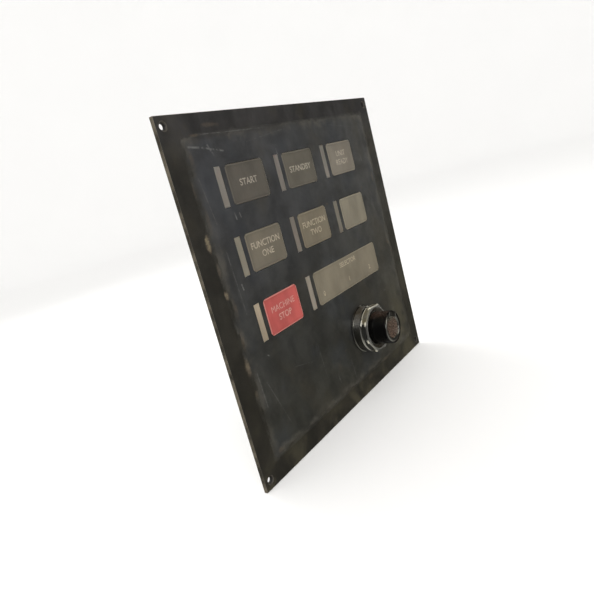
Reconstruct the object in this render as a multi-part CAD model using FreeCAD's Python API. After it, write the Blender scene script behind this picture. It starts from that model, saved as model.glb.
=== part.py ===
import FreeCAD, Part
import math
import os

# Flat operator control panel: an aluminium plate with a printed overlay, seven legend keys, eight status
# lenses, one wide legend window and a three-position rotary selector, with its board and contacts behind.
# Frame: origin at the centre of the plate's rear mounting face, +X right, +Z up, front facing -Y.

V = FreeCAD.Vector

# ---- plate and overlay ----
PLATE_W = 280.0
PLATE_H = 266.0
PLATE_T = 3.0
PLATE_CORNER_R = 0.4
PLATE_EDGE_CHAMFER = 0.25
HOLE_SPACING_X = 267.0
HOLE_SPACING_Z = 252.6
HOLE_R = 2.15
COUNTERSINK_R = 3.3
OVERLAY_HOLE_R = 3.6
OVERLAY_T = 0.25
OVERLAY_INSET = 0.35
FIELD_LEFT = -122.0
FIELD_RIGHT = 123.0
FIELD_TOP = 117.0
FIELD_BOTTOM = -115.0
FIELD_CORNER_R = 8.0
FIELD_BEVEL = 3.5
SPACER_T = 0.75
SPACER_MARGIN = 1.0

# ---- legend grid ----
COLUMN_X = (-69.0, -1.0, 67.0)
ROW_Z = (81.5, 31.5, -18.5)
LEGEND_W = 42.5
LEGEND_H = 28.5
LEGEND_R = 3.0
BAR_W = 6.0
BAR_OFFSET = 29.0
KEY_GAP = 0.3
PLATE_KEY_GAP = 0.5
LENS_GAP = 0.1

# ---- keys ----
KEY_TRAVEL = 0.6
CAP_PROUD = 0.15
CAP_WALL = 1.2
CAP_EDGE_CHAMFER = 0.35
CAP_LIP = 1.2
CAP_LIP_T = 1.0
CAP_LIP_PLAY = 0.1
STEM_R = 3.0
RIB_T = 1.0
RIB_DEPTH = 1.6
SWITCH_SIZE = 12.0
SWITCH_DEPTH = 3.5
SWITCH_PLUNGER_R = 3.5
PLUNGER_FIT = 0.05
PLUNGER_PROUD = 1.3
DOME_T = 0.15
DOME_ROOM = 0.15
SWITCH_FLOOR = 0.8

# ---- windows and lights ----
LENS_LIP = 0.8
LENS_LIP_T = 1.0
LIGHT_WALL = 1.2
LED_W = 3.5
LED_H = 2.8
LED_DEPTH = 1.4
LED_OFFSET = 13.0
STRIP_LED_COUNT = 6

# ---- board ----
BOARD_GAP = 8.0
BOARD_T = 1.6
BOARD_X = (-112.0, 100.0)
BOARD_Z = (-38.0, 102.0)
BOARD_CORNER_R = 3.0
STANDOFFS = ((-106.5, 98.0), (94.5, 98.0), (-106.5, -34.5), (94.5, -34.5), (-40.4, 56.5), (28.0, 6.5))
STANDOFF_FLATS = 5.5
SCREW_R = 1.45
SCREW_FIT = 0.05
SCREW_HEAD_R = 2.8
SCREW_HEAD_H = 2.0
SCREW_DEPTH = 5.0

# ---- wiring header ----
HEADER_X = -62.0
HEADER_Z = -20.0
PIN_COUNT = 8
PIN_PITCH = 5.08
PIN_SIZE = 1.0
PIN_LENGTH = 9.5
PIN_ROW_DROP = 2.2
HEADER_WALL = 1.1
HEADER_FLOOR = 3.0
HEADER_SOCKET_H = 9.8
HEADER_DEPTH = 12.0

# ---- selector: heights are measured from the plate's front face ----
SEL_X = 34.5
SEL_Z = -74.8
SEL_HOLE_R = 15.3
GASKET_R = 20.4
GASKET_T = 0.8
SLEEVE_R = 21.0
SLEEVE_TOP = 10.15
SLEEVE_CHAMFER = 0.9
SLEEVE_LIP_R = 21.8
SLEEVE_LIP_T = 0.9
SLEEVE_LIP_CHAMFER = 0.5
NUT_TOP = 16.35
NUT_VERTEX_R = 22.2
NUT_SIDES = 8
NUT_FIRST_VERTEX = 16.5
NUT_CHAMFER = 0.8
NUT_REAR_R = 20.1
NUT_DISH_R = 18.7
NUT_DISH_DEPTH = 2.3
THREAD_R = 14.9
THREAD_FIT = 0.15
BUSHING_TOP = 13.3
BUSHING_CAVITY_R = 12.5
BUSHING_FLOOR = 3.0
BUSHING_FLANGE_R = 19.0
BUSHING_FLANGE_T = 3.0
BUSHING_BOSS_R = 12.0
BUSHING_BOSS_END = 8.0
SHAFT_R = 3.0
SHAFT_FIT = 0.06
SHAFT_FLAT = 2.4
SHAFT_TOP = 27.5
CLIP_R = 5.0
CLIP_T = 0.8
CLIP_PLAY = 0.3
CLIP_MOUTH = 3.6
GROOVE_R = 2.4
KNOB_R = 14.86
KNOB_BOTTOM = 14.3
KNOB_TOP = 31.7
KNOB_EDGE_R = 0.7
KNOB_POCKET_R = 13.9
KNOB_POCKET_DEPTH = 3.2
KNOB_SKIRT_CHAMFER = 0.6
NOTCH_ANGLE = 70.0
NOTCH_DEPTH = 1.3
LUG_W = 1.7
LUG_OFFSET = 5.5
LUG_START = 9.0
LUG_END = 13.2
LUG_FRONT = 32.1
RING_INNER_R = 9.95
RING_CROWN = 31.9
RING_SHOULDER = 30.9
DISC_R = 9.8
DISC_EDGE = 31.2
DISC_DISH = 1.8
SET_SCREW_R = 1.5
SET_SCREW_LENGTH = 8.0
SET_SCREW_HEIGHT = 21.5
SET_SCREW_ANGLE = 255.0

# ---- selector contacts: depths are measured from the plate's rear face ----
BLOCK_W = 36.0
BLOCK_H = 34.0
BLOCK_R = 3.0
BLOCK_WALL = 2.0
BLOCK_FRONT_T = 2.5
BLOCK_END = 29.0
COVER_T = 2.5
ROTOR_START = 12.0
DETENT_T = 4.0
DETENT_R = 11.0
DETENT_NOTCHES = 8
DETENT_NOTCH_R = 1.6
ROTOR_HUB_R = 6.5
ROTOR_HUB_END = 21.0
WIPER_T = 0.6
WIPER_W = 5.0
WIPER_REACH = 11.5
CONTACT_RING_R = 10.0
CONTACT_STUD_R = 2.0
CONTACT_GAP = 0.25
BLADE_W = 6.3
BLADE_T = 0.8
BLADE_LENGTH = 6.5
COVER_SCREW_OFFSET = (14.6, 13.6)
COVER_SCREW_R = 1.2
LEAF_T = 0.5
LEAF_W = 3.4
LEAF_LENGTH = 20.0
LEAF_BUMP_R = 1.3
LEAF_FOOT = 1.5
LEAF_GAP = 0.35

FRONT = -PLATE_T
FIELD_FRONT = FRONT - SPACER_T - OVERLAY_T
BOARD_FRONT = BOARD_GAP
BOARD_REAR = BOARD_GAP + BOARD_T
PLUNGER_TOP = BOARD_FRONT - SWITCH_DEPTH - PLUNGER_PROUD

KEYS = {
    "top_left": (COLUMN_X[0], ROW_Z[0]),
    "top_middle": (COLUMN_X[1], ROW_Z[0]),
    "top_right": (COLUMN_X[2], ROW_Z[0]),
    "middle_left": (COLUMN_X[0], ROW_Z[1]),
    "centre": (COLUMN_X[1], ROW_Z[1]),
    "middle_right": (COLUMN_X[2], ROW_Z[1]),
    "stop": (COLUMN_X[0], ROW_Z[2]),
}
STRIP_W = COLUMN_X[2] - COLUMN_X[1] + LEGEND_W
STRIP = ((COLUMN_X[1] + COLUMN_X[2]) / 2, ROW_Z[2])
LENSES = {name: (x - BAR_OFFSET, z) for name, (x, z) in KEYS.items()}
LENSES["selector"] = (COLUMN_X[1] - BAR_OFFSET, ROW_Z[2])


def front_height(height):
    """Y of a point this far in front of the plate's front face."""
    return FRONT - height


def box(x, y, z, width, depth, height):
    """Box centred on x and z, running from y towards +Y."""
    return Part.makeBox(width, depth, height, V(x - width / 2, y, z - height / 2))


def cylinder(x, z, radius, y_start, y_end):
    return Part.makeCylinder(radius, y_end - y_start, V(x, y_start, z), V(0, 1, 0))


def cone(x, z, radius_start, radius_end, y_start, y_end):
    return Part.makeCone(radius_start, radius_end, y_end - y_start, V(x, y_start, z), V(0, 1, 0))


def rounded_outline(x, z, width, height, radius, y):
    """Closed wire of a rectangle with round corners, square to Y."""
    half_w = width / 2
    half_h = height / 2
    mid = radius * math.sqrt(0.5)
    edges = []
    for turn, (sx, sz) in enumerate(((1, 1), (-1, 1), (-1, -1), (1, -1))):
        centre = V(x + sx * (half_w - radius), y, z + sz * (half_h - radius))
        on_x = centre + V(sx * radius, 0, 0)
        on_z = centre + V(0, 0, sz * radius)
        start, end = (on_x, on_z) if turn % 2 == 0 else (on_z, on_x)
        if edges:
            edges.append(Part.LineSegment(last, start).toShape())
        else:
            first = start
        edges.append(Part.Arc(start, centre + V(sx * mid, 0, sz * mid), end).toShape())
        last = end
    edges.append(Part.LineSegment(last, first).toShape())
    return Part.Wire(edges)


def rounded_block(x, z, width, height, radius, y_start, y_end):
    face = Part.Face(rounded_outline(x, z, width, height, radius, y_start))
    return face.extrude(V(0, y_end - y_start, 0))


def lathe(profile, x=SEL_X, z=SEL_Z):
    """Turn a closed outline of (radius, y) points about the Y axis through x, z."""
    points = [V(x + radius, y, z) for radius, y in profile]
    face = Part.Face(Part.makePolygon(points + [points[0]]))
    return face.revolve(V(x, 0, z), V(0, 1, 0), 360)


def prism(corners, y_start, y_end):
    """Extrude a polygon of (x, z) corners along Y."""
    points = [V(x, y_start, z) for x, z in corners]
    face = Part.Face(Part.makePolygon(points + [points[0]]))
    return face.extrude(V(0, y_end - y_start, 0))


def regular_polygon(x, z, sides, vertex_radius, first_angle):
    angles = [math.radians(first_angle + 360 * i / sides) for i in range(sides)]
    return [(x + vertex_radius * math.cos(a), z + vertex_radius * math.sin(a)) for a in angles]


def fuse(shapes):
    joined = shapes[0].multiFuse(shapes[1:])
    return joined.removeSplitter()


def save(name, solids):
    """Write one node; identical fasteners are a list of separate solids."""
    shape = solids if not isinstance(solids, list) else Part.makeCompound(solids)
    assert shape.isValid(), name
    shape.exportStep("parts/" + name + ".step")


def at_corners():
    return [(sx * HOLE_SPACING_X / 2, sz * HOLE_SPACING_Z / 2) for sx in (-1, 1) for sz in (-1, 1)]


def window_cuts(y_start, y_end, key_gap, lens_gap):
    """Cutters for the seven keys, the eight status lenses and the wide legend."""
    cuts = []
    for x, z in KEYS.values():
        cuts.append(rounded_block(x, z, LEGEND_W + 2 * key_gap, LEGEND_H + 2 * key_gap,
                                  LEGEND_R + key_gap, y_start, y_end))
    for x, z in LENSES.values():
        cuts.append(box(x, y_start, z, BAR_W + 2 * lens_gap, y_end - y_start, LEGEND_H + 2 * lens_gap))
    cuts.append(rounded_block(STRIP[0], STRIP[1], STRIP_W + 2 * lens_gap, LEGEND_H + 2 * lens_gap,
                              LEGEND_R + lens_gap, y_start, y_end))
    return cuts


# ---- plate and layers ----
def make_panel_plate():
    plate = rounded_block(0, 0, PLATE_W, PLATE_H, PLATE_CORNER_R, FRONT, 0)
    rim = [e for e in plate.Edges if abs(e.BoundBox.YLength) < 1e-6]
    plate = plate.makeChamfer(PLATE_EDGE_CHAMFER, rim)
    cuts = window_cuts(FRONT - 1, 1, PLATE_KEY_GAP, LENS_GAP)
    cuts.append(cylinder(SEL_X, SEL_Z, SEL_HOLE_R, FRONT - 1, 1))
    sink = COUNTERSINK_R - HOLE_R
    for x, z in at_corners():
        cuts.append(cylinder(x, z, HOLE_R, FRONT - 1, 1))
        cuts.append(cone(x, z, COUNTERSINK_R, HOLE_R, FRONT, FRONT + sink))
    return plate.cut(cuts)


def field_block(y_rear, y_front, shrink_rear, shrink_front):
    """Raised inner field of the overlay as a bevelled block between two depths."""
    x = (FIELD_LEFT + FIELD_RIGHT) / 2
    z = (FIELD_TOP + FIELD_BOTTOM) / 2
    width = FIELD_RIGHT - FIELD_LEFT
    height = FIELD_TOP - FIELD_BOTTOM
    outlines = []
    for y, shrink in ((y_rear, shrink_rear), (y_front, shrink_front)):
        outlines.append(rounded_outline(x, z, width - 2 * shrink, height - 2 * shrink,
                                        FIELD_CORNER_R - shrink, y))
    return Part.makeLoft(outlines, True, True)


def make_graphic_overlay():
    width = PLATE_W - 2 * OVERLAY_INSET
    height = PLATE_H - 2 * OVERLAY_INSET
    margin = rounded_block(0, 0, width, height, PLATE_CORNER_R, FRONT - OVERLAY_T, FRONT)
    raised = field_block(FRONT, FIELD_FRONT, -FIELD_BEVEL, 0)
    hollow = field_block(FRONT, FRONT - SPACER_T, SPACER_MARGIN - FIELD_BEVEL, SPACER_MARGIN)
    cuts = window_cuts(FIELD_FRONT - 1, FRONT + 1, KEY_GAP, LENS_GAP)
    cuts.append(hollow)
    cuts.append(cylinder(SEL_X, SEL_Z, SEL_HOLE_R, FIELD_FRONT - 1, FRONT + 1))
    for x, z in at_corners():
        cuts.append(cylinder(x, z, OVERLAY_HOLE_R, FRONT - 2, FRONT + 1))
    return fuse([margin, raised]).cut(cuts)


def make_membrane_spacer():
    x = (FIELD_LEFT + FIELD_RIGHT) / 2
    z = (FIELD_TOP + FIELD_BOTTOM) / 2
    width = FIELD_RIGHT - FIELD_LEFT - 2 * SPACER_MARGIN
    height = FIELD_TOP - FIELD_BOTTOM - 2 * SPACER_MARGIN
    spacer = rounded_block(x, z, width, height, FIELD_CORNER_R, FRONT - SPACER_T, FRONT)
    cuts = window_cuts(FIELD_FRONT, FRONT + 1, PLATE_KEY_GAP, LENS_GAP)
    cuts.append(cylinder(SEL_X, SEL_Z, SEL_HOLE_R, FIELD_FRONT, FRONT + 1))
    return spacer.cut(cuts)


# ---- keys ----
def make_key_cap(x, z):
    """Translucent tray that fills its window, held by a lip behind the plate, with a stem to its switch."""
    face_front = FIELD_FRONT - CAP_PROUD
    face_rear = face_front + CAP_WALL
    lip_start = CAP_LIP_PLAY
    lip_end = CAP_LIP_PLAY + CAP_LIP_T
    tray = rounded_block(x, z, LEGEND_W, LEGEND_H, LEGEND_R, face_front, lip_end)
    front_rim = [e for e in tray.Edges if abs(e.BoundBox.YMax - face_front) < 1e-6]
    tray = tray.makeChamfer(CAP_EDGE_CHAMFER, front_rim)
    lip = rounded_block(x, z, LEGEND_W + 2 * CAP_LIP, LEGEND_H + 2 * CAP_LIP, LEGEND_R, lip_start, lip_end)
    hollow = rounded_block(x, z, LEGEND_W - 2 * CAP_WALL, LEGEND_H - 2 * CAP_WALL,
                           LEGEND_R - CAP_WALL, face_rear, lip_end + 1)
    shell = fuse([tray, lip]).cut(hollow)
    stem = cylinder(x, z, STEM_R, face_rear, PLUNGER_TOP)
    rib_x = box(x, face_rear, z, LEGEND_W - CAP_WALL, RIB_DEPTH, RIB_T)
    rib_z = box(x, face_rear, z, RIB_T, RIB_DEPTH, LEGEND_H - CAP_WALL)
    return fuse([shell, stem, rib_x, rib_z])


def plunger_end():
    """Depth of the plunger's lower end at rest, clear of the dome by the travel and a little room."""
    return BOARD_FRONT - SWITCH_FLOOR - DOME_T - DOME_ROOM - KEY_TRAVEL


def make_key_plunger(x, z):
    body = cylinder(x, z, SWITCH_PLUNGER_R, PLUNGER_TOP, plunger_end())
    top = [e for e in body.Edges if abs(e.BoundBox.YMax - PLUNGER_TOP) < 1e-6]
    return body.makeChamfer(0.3, top)


def make_key_switch(x, z):
    """Square switch body with a blind well for the plunger and its dome, and four moulded feet."""
    start = BOARD_FRONT - SWITCH_DEPTH
    body = rounded_block(x, z, SWITCH_SIZE, SWITCH_SIZE, 1.0, start, BOARD_FRONT)
    well = cylinder(x, z, SWITCH_PLUNGER_R + PLUNGER_FIT, start - 1, BOARD_FRONT - SWITCH_FLOOR)
    relief = [box(x, BOARD_FRONT - 0.5, z, SWITCH_SIZE + 1, 1, 4.0),
              box(x, BOARD_FRONT - 0.5, z, 4.0, 1, SWITCH_SIZE + 1)]
    return body.cut([well] + relief)


def make_snap_domes():
    start = BOARD_FRONT - SWITCH_FLOOR - DOME_T
    radius = SWITCH_PLUNGER_R - 0.3
    return [cylinder(x, z, radius, start, start + DOME_T) for x, z in KEYS.values()]


# ---- windows and lights ----
def make_status_lens(x, z):
    front = box(x, FIELD_FRONT, z, BAR_W, -FIELD_FRONT, LEGEND_H)
    front_rim = [e for e in front.Edges if abs(e.BoundBox.YMax - FIELD_FRONT) < 1e-6]
    front = front.makeChamfer(0.15, front_rim)
    lip = box(x, 0, z, BAR_W + 2 * LENS_LIP, LENS_LIP_T, LEGEND_H + 2 * LENS_LIP)
    return fuse([front, lip])


def make_light_bars():
    """Light bar modules that stand on the board and meet the status lenses."""
    bars = []
    for x, z in LENSES.values():
        bars.append(box(x, LENS_LIP_T, z, BAR_W - 0.4, BOARD_FRONT - LENS_LIP_T, LEGEND_H - 0.4))
    return bars


def make_strip_window():
    front = rounded_block(STRIP[0], STRIP[1], STRIP_W, LEGEND_H, LEGEND_R, FIELD_FRONT, 0)
    front_rim = [e for e in front.Edges if abs(e.BoundBox.YMax - FIELD_FRONT) < 1e-6]
    front = front.makeChamfer(0.15, front_rim)
    lip = rounded_block(STRIP[0], STRIP[1], STRIP_W + 2 * LENS_LIP, LEGEND_H + 2 * LENS_LIP,
                        LEGEND_R, 0, LENS_LIP_T)
    return fuse([front, lip])


def make_strip_frame():
    outer = rounded_block(STRIP[0], STRIP[1], STRIP_W - 1, LEGEND_H - 1, 2.0, LENS_LIP_T, BOARD_FRONT)
    inner = rounded_block(STRIP[0], STRIP[1], STRIP_W - 1 - 2 * LIGHT_WALL, LEGEND_H - 1 - 2 * LIGHT_WALL,
                          1.0, LENS_LIP_T - 1, BOARD_FRONT + 1)
    walls = [box(STRIP[0] + side * STRIP_W / 6, LENS_LIP_T, STRIP[1], LIGHT_WALL, BOARD_FRONT - LENS_LIP_T,
                 LEGEND_H - 1 - LIGHT_WALL) for side in (-1, 1)]
    return fuse([outer.cut(inner)] + walls)


def make_backlight_leds():
    start = BOARD_FRONT - LED_DEPTH
    leds = []
    for x, z in KEYS.values():
        for side in (-1, 1):
            leds.append(box(x + side * LED_OFFSET, start, z, LED_W, LED_DEPTH, LED_H))
    spacing = STRIP_W / STRIP_LED_COUNT
    for i in range(STRIP_LED_COUNT):
        x = STRIP[0] - STRIP_W / 2 + spacing * (i + 0.5)
        leds.append(box(x, start, STRIP[1], LED_W, LED_DEPTH, LED_H))
    return leds


# ---- board ----
def make_circuit_board():
    x = sum(BOARD_X) / 2
    z = sum(BOARD_Z) / 2
    board = rounded_block(x, z, BOARD_X[1] - BOARD_X[0], BOARD_Z[1] - BOARD_Z[0], BOARD_CORNER_R,
                          BOARD_FRONT, BOARD_REAR)
    holes = [cylinder(sx, sz, SCREW_R + 0.2, BOARD_FRONT - 1, BOARD_REAR + 1) for sx, sz in STANDOFFS]
    return board.cut(holes)


def make_standoffs():
    posts = []
    vertex = STANDOFF_FLATS / 2 / math.cos(math.pi / 6)
    for x, z in STANDOFFS:
        post = prism(regular_polygon(x, z, 6, vertex, 30), 0, BOARD_FRONT)
        posts.append(post.cut(cylinder(x, z, SCREW_R + SCREW_FIT, BOARD_FRONT - SCREW_DEPTH - 0.5,
                                       BOARD_FRONT + 1)))
    return posts


def make_board_screws():
    screws = []
    for x, z in STANDOFFS:
        head = cylinder(x, z, SCREW_HEAD_R, BOARD_REAR, BOARD_REAR + SCREW_HEAD_H)
        top = [e for e in head.Edges if abs(e.BoundBox.YMin - BOARD_REAR - SCREW_HEAD_H) < 1e-6]
        head = head.makeFillet(0.8, top)
        shank = cylinder(x, z, SCREW_R, BOARD_FRONT - SCREW_DEPTH, BOARD_REAR)
        recess = [box(x, BOARD_REAR + SCREW_HEAD_H - 1.1, z, 3.0, 2, 0.7),
                  box(x, BOARD_REAR + SCREW_HEAD_H - 1.1, z, 0.7, 2, 3.0)]
        screws.append(fuse([head, shank]).cut(recess))
    return screws


def pin_positions():
    half = (PIN_COUNT - 1) / 2
    return [(HEADER_X + (i - half) * PIN_PITCH, HEADER_Z - PIN_ROW_DROP) for i in range(PIN_COUNT)]


def make_header_pins():
    return [box(x, BOARD_REAR, z, PIN_SIZE, PIN_LENGTH, PIN_SIZE) for x, z in pin_positions()]


def make_header_housing():
    """Open shroud for a plug, with a keyed wall and a floor that the pins pass through."""
    width = PIN_COUNT * PIN_PITCH
    outer = box(HEADER_X, BOARD_REAR, HEADER_Z, width + 2 * HEADER_WALL, HEADER_DEPTH,
                HEADER_SOCKET_H + 2 * HEADER_WALL)
    socket = box(HEADER_X, BOARD_REAR + HEADER_FLOOR, HEADER_Z, width, HEADER_DEPTH, HEADER_SOCKET_H)
    slot_z = HEADER_Z - (HEADER_SOCKET_H + HEADER_WALL) / 2
    slots = [box(x, BOARD_REAR + HEADER_FLOOR + 4, slot_z, 1.6, HEADER_DEPTH, HEADER_WALL + 1)
             for x, z in pin_positions()]
    return outer.cut([socket] + slots + make_header_pins())


# ---- selector, outside ----
def make_gasket():
    start = front_height(SPACER_T + OVERLAY_T + GASKET_T)
    outer = cylinder(SEL_X, SEL_Z, GASKET_R, start, FIELD_FRONT)
    return outer.cut(cylinder(SEL_X, SEL_Z, SEL_HOLE_R + 0.3, start - 1, FIELD_FRONT + 1))


def make_base_sleeve():
    """Plain round sleeve with a narrow lip at the panel and a bevelled front edge."""
    low = front_height(SPACER_T + OVERLAY_T + GASKET_T)
    high = front_height(SLEEVE_TOP)
    lip = low - SLEEVE_LIP_T
    bore = THREAD_R + 0.35
    return lathe([(bore, low), (SLEEVE_LIP_R, low), (SLEEVE_LIP_R, lip + SLEEVE_LIP_CHAMFER),
                  (SLEEVE_LIP_R - SLEEVE_LIP_CHAMFER, lip), (SLEEVE_R, lip),
                  (SLEEVE_R, high + SLEEVE_CHAMFER), (SLEEVE_R - SLEEVE_CHAMFER, high), (bore, high)])


def make_ring_nut():
    """Eight-sided nut with chamfered edges and a polished dish that the knob stands in."""
    low = front_height(SLEEVE_TOP)
    high = front_height(NUT_TOP)
    nut = prism(regular_polygon(SEL_X, SEL_Z, NUT_SIDES, NUT_VERTEX_R, NUT_FIRST_VERTEX), high, low)
    front_rim = [e for e in nut.Edges if abs(e.BoundBox.YMax - high) < 1e-6]
    nut = nut.makeChamfer(NUT_CHAMFER, front_rim)
    full_r = NUT_VERTEX_R + 0.1
    rear_cone = lathe([(0, low), (NUT_REAR_R, low), (full_r, low - (full_r - NUT_REAR_R)),
                       (full_r, high - 1), (0, high - 1)])
    bore = THREAD_R + THREAD_FIT
    dish_floor = high + NUT_DISH_DEPTH
    dish = lathe([(0, high - 1), (NUT_DISH_R, high - 1), (NUT_DISH_R, high),
                  (KNOB_R + 0.9, dish_floor), (KNOB_R + 0.9, dish_floor + 0.8), (0, dish_floor + 0.8)])
    return nut.common(rear_cone).cut([dish, cylinder(SEL_X, SEL_Z, bore, high - 1, low + 1)])


def make_bushing():
    """Threaded tube through the plate, with a rear flange, a front cavity and the shaft's bearing."""
    top = front_height(BUSHING_TOP)
    cavity_floor = front_height(BUSHING_FLOOR)
    bore = SHAFT_R + SHAFT_FIT
    return lathe([(bore, cavity_floor), (BUSHING_CAVITY_R, cavity_floor), (BUSHING_CAVITY_R, top),
                  (THREAD_R - 0.6, top), (THREAD_R, top + 0.6), (THREAD_R, 0), (BUSHING_FLANGE_R, 0),
                  (BUSHING_FLANGE_R, BUSHING_FLANGE_T), (BUSHING_BOSS_R, BUSHING_FLANGE_T),
                  (BUSHING_BOSS_R, BUSHING_BOSS_END), (bore, BUSHING_BOSS_END)])


# ---- selector, turning pieces ----
def polar(radius, angle):
    return (SEL_X + radius * math.cos(math.radians(angle)), SEL_Z + radius * math.sin(math.radians(angle)))


def beside_notch(start, end, width, offset, y_start, y_end):
    """Block along the index notch's middle line, from start to end off the axis, at an offset to one side."""
    block = Part.makeBox(end - start, y_end - y_start, width, V(start, y_start, offset - width / 2))
    block.rotate(V(0, 0, 0), V(0, 1, 0), -NOTCH_ANGLE)
    block.translate(V(SEL_X, 0, SEL_Z))
    return block


def make_lugs(gap, y_start, y_end):
    """Two parallel lugs beside the notch, each larger all round by the gap."""
    return [beside_notch(LUG_START - gap, LUG_END + gap, LUG_W + 2 * gap, side * LUG_OFFSET, y_start, y_end)
            for side in (-1, 1)]


def make_knob_barrel():
    low = front_height(KNOB_BOTTOM)
    top = front_height(KNOB_TOP)
    floor = top + KNOB_POCKET_DEPTH
    bore = SHAFT_R + 0.02
    barrel = lathe([(bore, low), (KNOB_R - KNOB_SKIRT_CHAMFER, low), (KNOB_R, low - KNOB_SKIRT_CHAMFER),
                    (KNOB_R, top), (KNOB_POCKET_R, top), (KNOB_POCKET_R, floor), (bore, floor)])
    rim = [e for e in barrel.Edges
           if abs(e.BoundBox.YMax - top) < 1e-6 and e.BoundBox.XLength > 2 * KNOB_R - 0.1]
    barrel = barrel.makeFillet(KNOB_EDGE_R, rim)
    notch = beside_notch(KNOB_POCKET_R - 2, KNOB_R + 1, 2 * LUG_OFFSET - LUG_W, 0, top - 1, top + NOTCH_DEPTH)
    lug_slots = make_lugs(0.05, top - 1, top + NOTCH_DEPTH + 0.1)
    return barrel.cut([notch, set_screw_rod(SET_SCREW_R + 0.1, SHAFT_R - 1, KNOB_R + 1)] + lug_slots)


def make_face_ring():
    """Bright ring with a rounded crown, open at the index notch, with a lug at each side of the opening."""
    floor = front_height(KNOB_TOP) + KNOB_POCKET_DEPTH
    outer = KNOB_POCKET_R - 0.05
    middle = (outer + RING_INNER_R) / 2
    shoulder = front_height(RING_SHOULDER)
    crown = front_height(RING_CROWN)
    arc = Part.Arc(V(SEL_X + outer, shoulder, SEL_Z), V(SEL_X + middle, crown, SEL_Z),
                   V(SEL_X + RING_INNER_R, shoulder, SEL_Z)).toShape()
    rest = Part.makePolygon([V(SEL_X + RING_INNER_R, shoulder, SEL_Z), V(SEL_X + RING_INNER_R, floor, SEL_Z),
                             V(SEL_X + outer, floor, SEL_Z), V(SEL_X + outer, shoulder, SEL_Z)])
    ring = Part.Face(Part.Wire([arc] + rest.Edges)).revolve(V(SEL_X, 0, SEL_Z), V(0, 1, 0), 360)
    notch_floor = front_height(KNOB_TOP) + NOTCH_DEPTH
    opening = beside_notch(0, KNOB_R + 1, 2 * LUG_OFFSET - LUG_W, 0, crown - 1, notch_floor)
    lug_front = front_height(LUG_FRONT)
    rounded = [lug.makeFillet(0.3, [e for e in lug.Edges if abs(e.BoundBox.YMax - lug_front) < 1e-6])
               for lug in make_lugs(0, lug_front, notch_floor)]
    disc_room = cylinder(SEL_X, SEL_Z, RING_INNER_R, crown - 1, floor + 1)
    return fuse([ring.cut(opening)] + rounded).cut(disc_room)


def make_cap_disc():
    """Metal disc in the middle of the knob, slightly dished."""
    floor = front_height(KNOB_TOP) + KNOB_POCKET_DEPTH
    edge = front_height(DISC_EDGE)
    sag = DISC_DISH
    sphere_r = (DISC_R ** 2 + sag ** 2) / (2 * sag)
    disc = cylinder(SEL_X, SEL_Z, DISC_R, edge, floor)
    rim = [e for e in disc.Edges if abs(e.BoundBox.YMax - edge) < 1e-6]
    disc = disc.makeChamfer(0.3, rim)
    ball = Part.makeSphere(sphere_r, V(SEL_X, edge + sag - sphere_r, SEL_Z))
    return disc.cut(ball)


def set_screw_rod(radius, start, end):
    angle = math.radians(SET_SCREW_ANGLE)
    direction = V(math.cos(angle), 0, math.sin(angle))
    base = V(SEL_X, front_height(SET_SCREW_HEIGHT), SEL_Z) + direction * start
    return Part.makeCylinder(radius, end - start, base, direction)


def make_set_screw():
    start = SHAFT_R + 0.05
    end = start + SET_SCREW_LENGTH
    socket = set_screw_rod(0.75, end - 2, end + 1)
    return set_screw_rod(SET_SCREW_R, start, end).cut(socket)


def clip_rear():
    """Rear face of the retaining clip, just clear of the bushing's bearing."""
    return front_height(BUSHING_FLOOR) - CLIP_PLAY


def make_shaft():
    top = front_height(SHAFT_TOP)
    end = ROTOR_HUB_END
    shaft = cylinder(SEL_X, SEL_Z, SHAFT_R, top, end)
    flat = Part.makeBox(8, end - ROTOR_START + 1, 8, V(SEL_X - 4, ROTOR_START, SEL_Z + SHAFT_FLAT))
    rear = clip_rear()
    groove = cylinder(SEL_X, SEL_Z, SHAFT_R + 1, rear - CLIP_T, rear)
    groove = groove.cut(cylinder(SEL_X, SEL_Z, GROOVE_R, rear - CLIP_T - 1, rear + 1))
    return shaft.cut([flat, groove])


def make_retaining_clip():
    """Open spring clip that seats in the shaft's groove, in front of the bearing."""
    rear = clip_rear()
    ring = cylinder(SEL_X, SEL_Z, CLIP_R, rear - CLIP_T, rear)
    bore = cylinder(SEL_X, SEL_Z, GROOVE_R, rear - CLIP_T - 1, rear + 1)
    mouth = box(SEL_X, rear - CLIP_T - 1, SEL_Z - CLIP_R, CLIP_MOUTH, 3, CLIP_R * 2 - 2)
    return ring.cut([bore, mouth])


# ---- selector contacts ----
def make_contact_housing():
    start = BUSHING_BOSS_END
    outer = rounded_block(SEL_X, SEL_Z, BLOCK_W, BLOCK_H, BLOCK_R, start, BLOCK_END)
    cavity = rounded_block(SEL_X, SEL_Z, BLOCK_W - 2 * BLOCK_WALL, BLOCK_H - 2 * BLOCK_WALL, BLOCK_R - 1,
                           start + BLOCK_FRONT_T, BLOCK_END + 1)
    bore = cylinder(SEL_X, SEL_Z, SHAFT_R + 0.4, start - 1, start + BLOCK_FRONT_T + 1)
    bosses = [cylinder(x, z, 3.0, start + BLOCK_FRONT_T - 0.5, BLOCK_END) for x, z in cover_screw_positions()]
    limit = rounded_block(SEL_X, SEL_Z, BLOCK_W, BLOCK_H, BLOCK_R, start, BLOCK_END)
    shell = fuse([outer.cut([cavity, bore])] + [boss.common(limit) for boss in bosses])
    holes = [cylinder(x, z, COVER_SCREW_R + 0.05, BLOCK_END - 8, BLOCK_END + 1)
             for x, z in cover_screw_positions()]
    return shell.cut(holes)


def cover_screw_positions():
    dx, dz = COVER_SCREW_OFFSET
    return [(SEL_X + dx, SEL_Z + dz), (SEL_X - dx, SEL_Z - dz)]


def contact_positions():
    return [polar(CONTACT_RING_R, angle) for angle in (0, 90, 180, 270)]


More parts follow.
